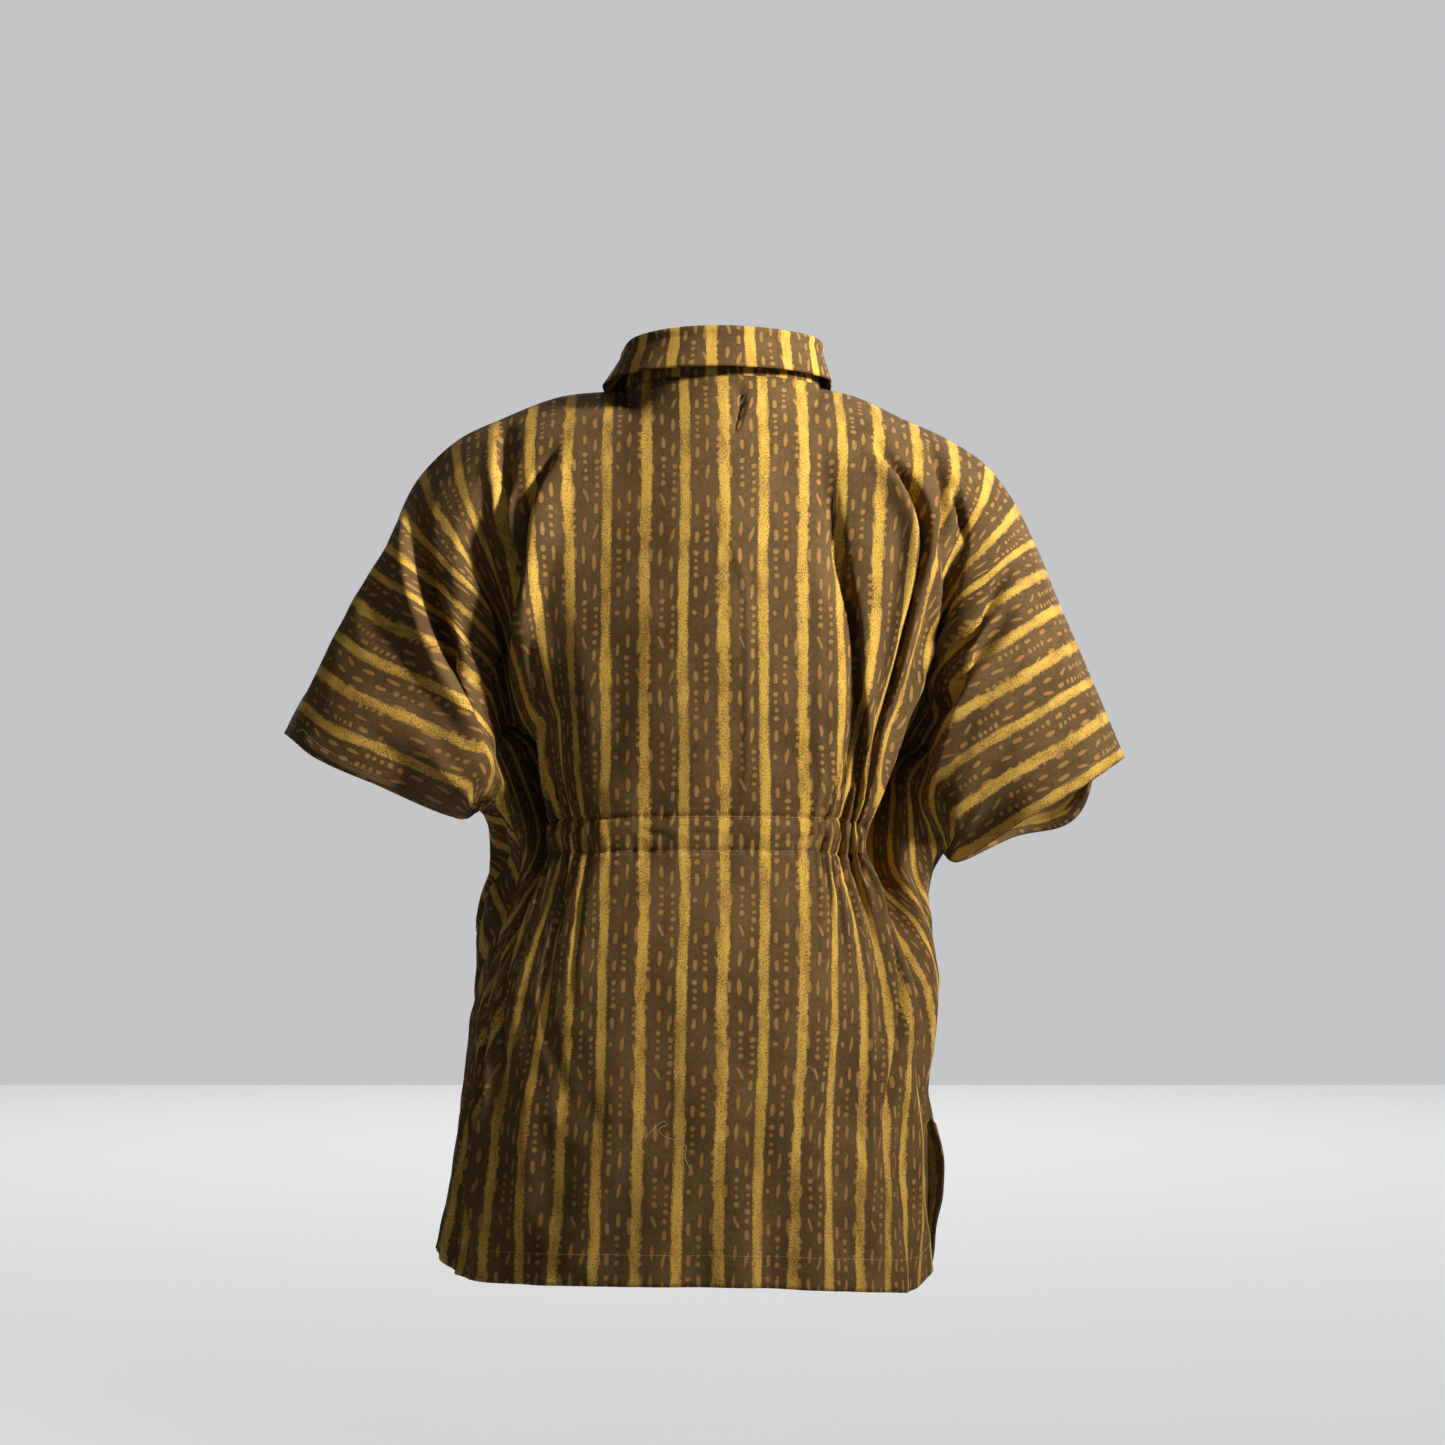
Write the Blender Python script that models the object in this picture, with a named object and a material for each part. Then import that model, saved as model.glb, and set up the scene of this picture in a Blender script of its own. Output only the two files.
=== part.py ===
"""A short kaftan top with wide sleeves, a turned-down collar and a gathered back waist, hanging as worn.

Lengths at the top of this file are in metres; the tables of places are in millimetres. x runs to the
wearer's right, y to the wearer's front and z up. Zero is midway between the neck ends of the two
shoulder seams.
"""
import math

import bpy
import numpy as np

CLOTH = 0.0012
COLLAR_CLOTH = 0.0016
SEAM_GAP = 0.0003
MM = 0.001

HALF_SPAN = 525.0
NECK_HALF = 80.0
NECK_SHARE = NECK_HALF / HALF_SPAN
CORNER_LEVEL = 285.0
SLIT_LEVEL = 635.0
HEM_LEVEL = 765.0
NECK_SLIT_LEVEL = 125.0
NECK_SLIT_OPENING = 14.0

NECK_RIGHT = (86.0, 0.0, 1.0)
NECK_LEFT = (-86.0, 0.0, -1.0)
NAPE = (-2.0, -66.0, -2.0)
THROAT = (-2.0, 86.0, -78.0)
# How fast the neckline falls from the shoulders: 1 is a plain curve, and more is a deeper scoop.
BACK_SCOOP = 1.0
FRONT_SCOOP = 1.4

NECK_COLUMNS = 6
SLEEVE_COLUMNS = 21
ROW_HEIGHT = 27.0
# Columns stand closer together round the deep folds at the arms.
FOLD_SHARE = 0.56
FOLD_REACH = 0.15
PLAIN_DENSITY = 0.8
FOLD_DENSITY = 1.5
DENSITY_STEPS = 401
CASING_TOP = 384.0
CASING_MIDDLE = 398.0
CASING_BOTTOM = 412.0
CASING_LEFT = -0.49
CASING_RIGHT = 0.46
CASING_CLOTH = 0.0010

# The seam along the top of each sleeve, from the neck to the sleeve's end.
# length along the seam, x, y, z
OVERARM_RIGHT = (
    (0, 86, 0, 1), (33, 118, 0, -7), (74, 158, 0, -26), (118, 197, 0, -44), (154, 228, 0, -64),
    (200, 256, 0, -99), (240, 274, 0, -135), (297, 295, 0, -188), (354, 317, 0, -241), (445, 352, 0, -327),
)
OVERARM_LEFT = (
    (0, -86, 0, -1), (56, -148, 0, -8), (98, -196, 0, -27), (139, -233, 0, -45), (166, -254, 0, -63),
    (190, -270, 0, -82), (216, -282, 0, -105), (248, -292, 0, -135), (288, -305, 0, -170),
    (328, -322, 0, -206), (368, -344, 0, -241), (410, -369, 0, -276), (445, -384, 0, -306),
)

SHARES = (0.0, 0.2, 0.4, 0.6, 0.8, 1.0)

# Places on the back's right half, from the centre out to the sleeve end or the side.
# level, then x y z at each of the shares above
BACK_RIGHT = (
    (60, (-3, -92, -58), (97, -64, -50), (193, -48, -76),
     (262, -42, -152), (300, -42, -247), (338, -40, -336)),
    (125, (-5, -107, -125), (98, -88, -120), (182, -76, -130),
     (243, -66, -190), (277, -64, -280), (306, -60, -357)),
    (205, (-9, -116, -205), (98, -98, -205), (160, -82, -215),
     (207, -76, -262), (235, -70, -330), (257, -58, -385)),
    (285, (-13, -113, -285), (92, -97, -287), (138, -70, -292),
     (176, -62, -335), (203, -55, -381), (204, 4, -419)),
    (345, (-15, -104, -345), (80, -90, -347), (122, -66, -350),
     (160, -45, -368), (191, -22, -402), (193, 22, -412)),
    (398, (-17, -98, -398), (62, -90, -398), (110, -64, -400),
     (142, -38, -415), (174, -10, -434), (182, 28, -440)),
    (450, (-19, -104, -452), (62, -96, -452), (116, -74, -453),
     (152, -42, -460), (179, -6, -472), (184, 26, -478)),
    (520, (-23, -118, -522), (56, -110, -522), (116, -88, -523),
     (160, -55, -525), (184, -18, -526), (188, 16, -526)),
    (635, (-28, -130, -635), (30, -126, -635), (87, -110, -637),
     (136, -80, -640), (167, -40, -641), (177, 3, -640)),
    (765, (-33, -134, -767), (23, -130, -768), (78, -115, -772),
     (130, -87, -777), (164, -46, -780), (180, -4, -766)),
)

# Places on the back's left half; the centre is shared.
BACK_LEFT = (
    (60, (-102, -64, -50), (-215, -46, -76), (-286, -42, -146), (-331, -44, -218), (-371, -42, -314)),
    (125, (-104, -88, -120), (-200, -77, -130), (-268, -66, -186), (-317, -66, -254), (-347, -60, -332)),
    (205, (-108, -98, -205), (-176, -82, -213), (-232, -76, -248), (-276, -72, -301), (-300, -58, -353)),
    (285, (-110, -97, -287), (-154, -72, -290), (-190, -66, -325), (-221, -60, -366), (-226, -4, -381)),
    (345, (-104, -90, -347), (-144, -66, -348), (-174, -48, -355), (-197, -42, -368), (-197, -10, -364)),
    (398, (-94, -90, -398), (-137, -64, -398), (-160, -44, -402), (-172, -34, -406), (-173, -20, -408)),
    (450, (-100, -96, -452), (-147, -72, -452), (-168, -54, -453), (-177, -42, -455), (-179, -28, -458)),
    (520, (-108, -110, -522), (-163, -86, -522), (-189, -64, -522), (-201, -42, -522), (-205, -20, -524)),
    (635, (-87, -126, -635), (-144, -110, -635), (-193, -80, -635), (-219, -42, -635), (-226, -1, -636)),
    (765, (-90, -130, -767), (-144, -113, -768), (-194, -86, -769), (-230, -46, -765), (-247, -3, -752)),
)

# Places on the front's right half, in the same order as the back's.
FRONT_RIGHT = (
    (60, (-3, 100, -124), (98, 62, -62), (193, 47, -78), (262, 44, -154), (300, 43, -250), (340, 42, -348)),
    (125, (-5, 114, -176), (96, 94, -128), (182, 76, -134),
     (243, 67, -195), (278, 65, -290), (312, 61, -381)),
    (205, (-9, 125, -231), (94, 114, -208), (162, 86, -217),
     (208, 74, -268), (238, 68, -340), (262, 62, -394)),
    (285, (-12, 129, -285), (92, 118, -287), (144, 88, -297),
     (180, 68, -340), (206, 58, -388), (204, 4, -419)),
    (345, (-14, 124, -345), (86, 112, -347), (134, 88, -352),
     (167, 68, -374), (190, 52, -398), (193, 22, -412)),
    (398, (-16, 121, -398), (80, 111, -398), (128, 90, -401),
     (160, 70, -414), (180, 52, -431), (182, 28, -440)),
    (450, (-19, 124, -452), (78, 115, -452), (128, 94, -454),
     (161, 72, -462), (181, 50, -475), (184, 26, -478)),
    (520, (-22, 128, -522), (73, 121, -522), (125, 102, -524),
     (163, 76, -526), (182, 46, -528), (188, 16, -526)),
    (635, (-28, 127, -635), (31, 124, -636), (90, 111, -638),
     (141, 85, -640), (170, 46, -641), (177, 3, -640)),
    (765, (-34, 125, -764), (25, 122, -766), (82, 110, -768),
     (134, 86, -768), (169, 50, -768), (181, 8, -764)),
)

FRONT_LEFT = (
    (60, (-103, 62, -62), (-215, 47, -78), (-286, 44, -148), (-331, 44, -220), (-373, 44, -312)),
    (125, (-104, 94, -128), (-200, 77, -134), (-268, 68, -192), (-318, 68, -252), (-352, 60, -321)),
    (205, (-106, 114, -208), (-178, 90, -216), (-233, 77, -255), (-278, 70, -298), (-305, 60, -340)),
    (285, (-110, 118, -287), (-166, 93, -296), (-202, 76, -332), (-224, 56, -362), (-226, -4, -381)),
    (345, (-108, 112, -347), (-160, 90, -351), (-194, 66, -362), (-211, 34, -377), (-197, -10, -364)),
    (398, (-106, 111, -398), (-158, 90, -400), (-192, 64, -404), (-204, 26, -412), (-173, -20, -408)),
    (450, (-109, 115, -452), (-165, 94, -454), (-204, 63, -456), (-214, 20, -458), (-179, -28, -458)),
    (520, (-113, 121, -522), (-170, 101, -523), (-208, 67, -524), (-218, 24, -525), (-205, -20, -524)),
    (635, (-89, 124, -635), (-148, 111, -636), (-200, 83, -637), (-224, 44, -637), (-226, -1, -636)),
    (765, (-93, 122, -764), (-150, 110, -762), (-202, 87, -760), (-237, 50, -756), (-249, 6, -751)),
)

# Folds, each followed from its upper end down; a share below zero is on the left.
# share, level, half width as a share, depth in millimetres (out is above zero)
RIGHT_HOLLOW = (
    (0.46, 80, 0.06, 0), (0.485, 150, 0.09, -22), (0.51, 225, 0.10, -56), (0.54, 300, 0.105, -68),
    (0.57, 370, 0.11, -62), (0.61, 430, 0.12, -36), (0.68, 500, 0.12, -18), (0.77, 580, 0.10, -8),
    (0.84, 650, 0.08, 0),
)
LEFT_HOLLOW = (
    (-0.37, 80, 0.06, 0), (-0.43, 160, 0.09, -26), (-0.49, 225, 0.10, -60), (-0.54, 300, 0.105, -72),
    (-0.58, 370, 0.11, -62), (-0.63, 430, 0.12, -26), (-0.69, 500, 0.12, -7), (-0.74, 570, 0.10, 0),
)
RIGHT_BACK_CREASE = (
    (0.17, 70, 0.05, 0), (0.20, 150, 0.055, -7), (0.25, 240, 0.06, -9), (0.33, 340, 0.06, -9),
    (0.37, 400, 0.05, -5), (0.42, 500, 0.06, 0),
)
FRONT_HOLLOW = (
    (0.46, 110, 0.08, 0), (0.48, 200, 0.11, -18), (0.50, 300, 0.13, -34), (0.50, 380, 0.13, -26),
    (0.50, 480, 0.11, 0),
)
SLIT_BULGE = (
    (1.0, 610, 0.14, 0), (1.0, 665, 0.16, 13), (1.0, 705, 0.16, 14), (1.0, 745, 0.15, 4),
    (1.0, 766, 0.14, 0),
)
FOLDS = {
    "back": (RIGHT_HOLLOW, LEFT_HOLLOW, RIGHT_BACK_CREASE),
    "front": (FRONT_HOLLOW, tuple((-row[0],) + row[1:] for row in FRONT_HOLLOW), SLIT_BULGE),
}

# The collar round the neck, from the middle of the back to the front end of the leaf.
# turn in degrees, height of the fold above the neck seam, out to the leaf's edge, leaf's edge above the seam
COLLAR = (
    (0, 43, 11, 3), (40, 41, 12, 3), (80, 33, 14, 4), (110, 28, 17, 5), (140, 25, 19, -2),
    (177, 22, 18, -22),
)
COLLAR_END = 177.0
COLLAR_LIFT = 0.6
COLLAR_LEAN = 5.0
# The share of a quarter turn that keeps the collar's seam on the neckline and off the sleeve's seam.
NECK_END = 0.9999

# The folded strip of the collar from its seam, up the stand, over and down the leaf.
# share of the way up, and of the way out; from the fold on, share of the way down the leaf
STAND = ((0.0, -0.8), (0.5, -2.2), (0.92, -2.6))
LEAF = ((0.0, 0.3), (0.06, 2.4), (0.5, 0.0), (1.0, 0.0))


def unit(vectors):
    return vectors / np.linalg.norm(vectors, axis=-1, keepdims=True)


def through(knots, values, at):
    """A smooth curve through values at the knots, read at other places along it."""
    knots = np.asarray(knots, float)
    values = np.asarray(values, float)
    at = np.asarray(at, float)
    steps = np.diff(knots)
    slopes = np.diff(values, axis=0) / steps.reshape((-1,) + (1,) * (values.ndim - 1))
    tangents = np.empty_like(values)
    tangents[0] = slopes[0]
    tangents[-1] = slopes[-1]
    before = (steps[1:] / (steps[1:] + steps[:-1])).reshape((-1,) + (1,) * (values.ndim - 1))
    tangents[1:-1] = slopes[:-1] * before + slopes[1:] * (1.0 - before)
    place = np.clip(np.searchsorted(knots, at, side="right") - 1, 0, len(steps) - 1)
    span = steps[place]
    t = (at - knots[place]) / span
    shape = t.shape + (1,) * (values.ndim - 1)
    t = t.reshape(shape)
    span = span.reshape(shape)
    return (values[place] * (2 * t**3 - 3 * t**2 + 1) + tangents[place] * span * (t**3 - 2 * t**2 + t)
            + values[place + 1] * (3 * t**2 - 2 * t**3) + tangents[place + 1] * span * (t**3 - t**2))


def top_edge(panel, shares):
    """The neckline, then the seam along the sleeve on each side of it."""
    points = np.empty((len(shares), 3))
    middle = NAPE if panel == "back" else THROAT
    for i, share in enumerate(shares):
        seam = OVERARM_RIGHT if share > 0 else OVERARM_LEFT
        end = NECK_RIGHT if share > 0 else NECK_LEFT
        if abs(share) >= NECK_SHARE:
            along = (abs(share) - NECK_SHARE) / (1 - NECK_SHARE) * seam[-1][0]
            points[i] = through([row[0] for row in seam], [row[1:] for row in seam], [along])[0]
        else:
            turn = abs(share) / NECK_SHARE * math.pi / 2
            drop = math.cos(turn) ** (BACK_SCOOP if panel == "back" else FRONT_SCOOP)
            points[i] = (
                middle[0] + (end[0] - middle[0]) * math.sin(turn),
                middle[1] * math.cos(turn),
                end[2] + (middle[2] - end[2]) * drop,
            )
    return points


def smooth_form(panel, shares, levels):
    """The cloth without its folds: one point for each level and share."""
    right, left = (BACK_RIGHT, BACK_LEFT) if panel == "back" else (FRONT_RIGHT, FRONT_LEFT)
    knots = [-share for share in SHARES[:0:-1]] + list(SHARES)
    rows = [top_edge(panel, shares)]
    for wide, narrow in zip(right, left):
        places = list(narrow[:0:-1]) + list(wide[1:])
        rows.append(through(knots, places, shares))
    heights = [0.0] + [row[0] for row in right]
    return through(heights, np.array(rows), levels)


def out_of_cloth(points, panel):
    """Which way is out at every point of a grid, from the four faces round it."""
    facing = unit(np.cross(points[1:, :-1] - points[:-1, 1:], points[1:, 1:] - points[:-1, :-1]))
    out = np.zeros_like(points)
    for rows in (slice(None, -1), slice(1, None)):
        for columns in (slice(None, -1), slice(1, None)):
            out[rows, columns] += facing
    return unit(out) if panel == "back" else -unit(out)


def fold_depths(panel, shares, levels):
    """How far each point moves out for the folds that run over it."""
    total = np.zeros((len(levels), len(shares)))
    for fold in FOLDS[panel]:
        rows = np.array(fold, float)
        inside = (levels > rows[0, 1]) & (levels < rows[-1, 1])
        middle, half, depth = (through(rows[:, 1], rows[:, i], levels) for i in (0, 2, 3))
        depth = np.where(inside, depth, 0.0)
        across = np.clip((shares[None, :] - middle[:, None]) / half[:, None], -1.0, 1.0)
        total += depth[:, None] * (1.0 + np.cos(math.pi * across)) / 2.0
    return total


def draped(panel, shares, levels):
    points = smooth_form(panel, shares, levels)
    out = out_of_cloth(points, panel)
    return points + out * fold_depths(panel, shares, levels)[:, :, None]


def share_list():
    """Shares of the half width, closer together at the neck and where the deep folds are."""
    fine = np.linspace(NECK_SHARE, 1.0, DENSITY_STEPS)
    density = PLAIN_DENSITY + FOLD_DENSITY * np.exp(-(((fine - FOLD_SHARE) / FOLD_REACH) ** 2))
    total = np.concatenate([[0.0], np.cumsum((density[1:] + density[:-1]) / 2)])
    sleeve = np.interp(np.linspace(0.0, total[-1], SLEEVE_COLUMNS + 1), total, fine)
    half = np.concatenate([np.linspace(0.0, NECK_SHARE, NECK_COLUMNS + 1), sleeve[1:]])
    return np.concatenate([-half[:0:-1], half])


def level_list():
    """Levels down the centre, with one on each mark and even steps between the marks."""
    marks = (0.0, NECK_SLIT_LEVEL, CORNER_LEVEL, CASING_TOP, CASING_MIDDLE, CASING_BOTTOM, SLIT_LEVEL,
             HEM_LEVEL)
    levels = [0.0]
    for upper, lower in zip(marks, marks[1:]):
        steps = math.ceil((lower - upper) / ROW_HEIGHT)
        levels += [upper + (lower - upper) * (i + 1) / steps for i in range(steps)]
    return np.array(levels)


def panel_grids(shares, levels):
    """Both panels' grids with one shared line where they are sewn, and which way is out of each."""
    grids = {name: draped(name, shares, levels) for name in ("back", "front")}
    sewn = (levels >= CORNER_LEVEL) & (levels <= SLIT_LEVEL)
    for column in (0, -1):
        shared = (grids["back"][sewn, column] + grids["front"][sewn, column]) / 2
        for grid in grids.values():
            grid[sewn, column] = shared
    outs = {name: out_of_cloth(grid, name) for name, grid in grids.items()}
    arm = abs(shares) >= NECK_SHARE
    shared = unit(outs["back"][0, arm] + outs["front"][0, arm])
    for out in outs.values():
        out[0, arm] = shared
    for column in (0, -1):
        shared = unit(outs["back"][sewn, column] + outs["front"][sewn, column])
        for out in outs.values():
            out[sewn, column] = shared
    return grids, outs, arm, sewn


def drawn_back(grid, out, arm, sewn):
    """The grid with its sewn edges drawn back by half the seam gap."""
    moved = grid.copy()
    half = SEAM_GAP / 2 / MM

    def shift(edge, inner, way, along):
        side = unit(np.cross(along, way))
        side *= np.sign(np.sum(side * (inner - edge), axis=-1, keepdims=True))
        return edge + side * half

    moved[0, arm] = shift(grid[0, arm], grid[1, arm], out[0, arm], np.gradient(grid[0], axis=0)[arm])
    for column, inner in ((0, 1), (-1, -2)):
        along = np.gradient(grid[:, column], axis=0)
        moved[sewn, column] = shift(grid[sewn, column], grid[sewn, inner], out[sewn, column], along[sewn])
    return moved


def grid_faces(points, skip=()):
    """Triangles over a grid, each square split along its shorter diagonal."""
    rows, columns = points.shape[:2]
    faces = []
    for row in range(rows - 1):
        for column in range(columns - 1):
            if column in skip:
                continue
            a, b, c, d = (row * columns + column, row * columns + column + 1,
                          (row + 1) * columns + column + 1, (row + 1) * columns + column)
            falling = np.linalg.norm(points[row, column] - points[row + 1, column + 1])
            rising = np.linalg.norm(points[row, column + 1] - points[row + 1, column])
            faces += [(a, b, c), (a, c, d)] if falling <= rising else [(a, b, d), (b, c, d)]
    return faces


def wall(name, points, out, faces, thickness, material, flip=False):
    """A closed wall: the face given, the same face set in by the thickness, and a rim round both."""
    used = sorted({corner for face in faces for corner in face})
    number = {corner: i for i, corner in enumerate(used)}
    faces = [tuple(number[corner] for corner in face) for face in faces]
    if flip:
        faces = [face[::-1] for face in faces]
    outer = points[used] * MM
    inner = outer - out[used] * thickness
    faces = [face for face in faces if len(set(face)) == 3]
    count = len(used)
    solid = list(faces) + [tuple(corner + count for corner in face[::-1]) for face in faces]
    edges = {(face[i], face[(i + 1) % len(face)]) for face in faces for i in range(len(face))}
    for a, b in sorted(edges):
        if (b, a) not in edges:
            solid.append((b, a, a + count, b + count))
    mesh = bpy.data.meshes.new(name)
    mesh.from_pydata([tuple(point) for point in np.concatenate([outer, inner])], [], solid)
    mesh.update()
    piece = bpy.data.objects.new(name, mesh)
    collection.objects.link(piece)
    mesh.materials.append(material)
    for polygon in mesh.polygons:
        polygon.use_smooth = True
    return piece


def cloth_material(name, colour, roughness):
    material = bpy.data.materials.new(name)
    material.use_nodes = True
    shader = material.node_tree.nodes["Principled BSDF"]
    shader.inputs["Base Color"].default_value = (*colour, 1.0)
    shader.inputs["Roughness"].default_value = roughness
    return material


def build_panels(shares, levels):
    grids, outs, arm, sewn = panel_grids(shares, levels)
    back = drawn_back(grids["back"], outs["back"], arm, sewn)
    wall("back_panel", back.reshape(-1, 3), outs["back"].reshape(-1, 3), grid_faces(back),
         CLOTH, print_cloth, flip=True)
    front = drawn_back(grids["front"], outs["front"], arm, sewn)
    middle = len(shares) // 2
    opened = levels < NECK_SLIT_LEVEL
    apart = np.where(opened, NECK_SLIT_OPENING / 2 * (1 - levels / NECK_SLIT_LEVEL), 0.0)
    left, right = front.copy(), front.copy()
    left[:, middle, 0] -= apart
    right[:, middle, 0] += apart
    halves = np.concatenate([left[:, :middle + 1], right[:, middle:]], axis=1)
    ways = np.concatenate([outs["front"][:, :middle + 1], outs["front"][:, middle:]], axis=1)
    width = halves.shape[1]
    joined = {row * width + middle + 1: row * width + middle for row in np.flatnonzero(~opened)}
    faces = grid_faces(halves, skip=(middle,))
    faces = [tuple(joined.get(corner, corner) for corner in face) for face in faces]
    wall("front_panel", halves.reshape(-1, 3), ways.reshape(-1, 3), faces, CLOTH, print_cloth)
    build_casing(shares, levels, grids["back"], outs["back"])


def neck_point(turn):
    """The neckline at a turn in degrees from the middle of the back; below zero is on the left."""
    panel = "back" if abs(turn) <= 90 else "front"
    share = NECK_SHARE * min(abs(turn), 180 - abs(turn)) / 90
    share = math.copysign(min(share, NECK_SHARE * NECK_END), turn)
    return top_edge(panel, [share])[0]


def build_collar():
    step = 90.0 / NECK_COLUMNS
    turns = np.arange(-180.0, 180.0 + step / 2, step).clip(-COLLAR_END, COLLAR_END)
    sizes = through([row[0] for row in COLLAR], [row[1:] for row in COLLAR], abs(turns))
    seam = np.array([neck_point(turn) for turn in turns])
    angles = np.radians(turns)
    depth = np.where(abs(turns) <= 90, abs(NAPE[1]), THROAT[1])
    away = unit(np.stack([np.sin(angles) * depth, -np.cos(angles) * NECK_RIGHT[0], 0 * angles], axis=1))
    up = np.array([0.0, 0.0, 1.0])
    height, reach, edge = (sizes[:, i:i + 1] for i in range(3))
    reach = reach - COLLAR_LEAN * np.sin(angles)[:, None]
    rows = [seam + away * out + up * (COLLAR_LIFT + (height - COLLAR_LIFT) * part) for part, out in STAND]
    for part, out in LEAF:
        rows.append(seam + away * (out + reach * part) + up * (height + (edge - height) * part))
    middle = np.array(rows)
    out = unit(np.cross(np.gradient(middle, axis=1), np.gradient(middle, axis=0)))
    points = middle + out * COLLAR_CLOTH / 2 / MM
    wall("collar", points.reshape(-1, 3), out.reshape(-1, 3), grid_faces(points), COLLAR_CLOTH, print_cloth)


def build_casing(shares, levels, grid, out):
    """The strip inside the back that makes the channel, from the back's own places moved in."""
    rows = (levels >= CASING_TOP) & (levels <= CASING_BOTTOM)
    columns = (shares >= CASING_LEFT) & (shares <= CASING_RIGHT)
    place = np.ix_(rows, columns)
    points = grid[place] - out[place] * (CLOTH + SEAM_GAP) / MM
    wall("waist_casing", points.reshape(-1, 3), out[place].reshape(-1, 3), grid_faces(points),
         CASING_CLOTH, plain_cloth, flip=True)


for thing in list(bpy.data.objects):
    bpy.data.objects.remove(thing, do_unlink=True)
collection = bpy.data.collections.new("kaftan")
bpy.context.scene.collection.children.link(collection)
print_cloth = cloth_material("print_cotton", (0.12, 0.07, 0.035), 0.9)
plain_cloth = cloth_material("casing_cotton", (0.1, 0.06, 0.03), 0.9)
build_panels(share_list(), level_list())
build_collar()
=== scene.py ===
"""The looks of a short kaftan top with wide sleeves, a turned-down collar and a gathered back waist.

Tables of places are in millimetres and everything that is built is in metres. x runs to the wearer's
right, y to the wearer's front and z up. Zero is midway between the neck ends of the shoulder seams.
A place on the cloth is given by its share of the half width (below zero on the left) and its level
down the centre, so every fold, hem and row of stitches follows the cloth.
"""
import math

import bpy
import numpy as np
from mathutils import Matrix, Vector


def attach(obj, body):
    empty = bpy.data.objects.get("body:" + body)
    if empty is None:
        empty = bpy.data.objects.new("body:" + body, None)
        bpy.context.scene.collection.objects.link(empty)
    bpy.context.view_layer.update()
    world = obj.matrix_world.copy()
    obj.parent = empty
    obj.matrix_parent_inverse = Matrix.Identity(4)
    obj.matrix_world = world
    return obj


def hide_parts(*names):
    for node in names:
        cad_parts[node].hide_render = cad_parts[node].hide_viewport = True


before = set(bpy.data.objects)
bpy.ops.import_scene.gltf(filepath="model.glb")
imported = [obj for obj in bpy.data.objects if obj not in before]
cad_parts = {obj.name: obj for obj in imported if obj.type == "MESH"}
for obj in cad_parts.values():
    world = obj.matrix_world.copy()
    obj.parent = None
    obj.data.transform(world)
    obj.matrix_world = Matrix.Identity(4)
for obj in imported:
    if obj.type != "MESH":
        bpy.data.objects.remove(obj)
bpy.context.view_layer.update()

MM = 0.001
HALF_SPAN = 525.0
NECK_HALF = 80.0
NECK_SHARE = NECK_HALF / HALF_SPAN
CORNER_LEVEL = 285.0
SLIT_LEVEL = 635.0
HEM_LEVEL = 765.0
NECK_SLIT_LEVEL = 125.0
NECK_SLIT_OPENING = 14.0
CASING_TOP = 384.0
CASING_BOTTOM = 412.0
CASING_LEFT = -0.49
CASING_RIGHT = 0.46
SEAM_GAP = 0.3

CLOTH = 0.0009
COLLAR_CLOTH = 0.0015

NECK_RIGHT = (86.0, 0.0, 1.0)
NECK_LEFT = (-86.0, 0.0, -1.0)
NAPE = (-2.0, -66.0, -2.0)
THROAT = (-2.0, 86.0, -78.0)
BACK_SCOOP = 1.0
FRONT_SCOOP = 1.4
NECK_END = 0.9999

# Half the width of the flat cloth at each level down the centre, which gives the cut of the side.
# level, half width
HALF_WIDTHS = (
    (0, 525), (285, 525), (345, 470), (398, 425), (450, 385), (520, 340), (635, 292), (765, 285),
)
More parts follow.
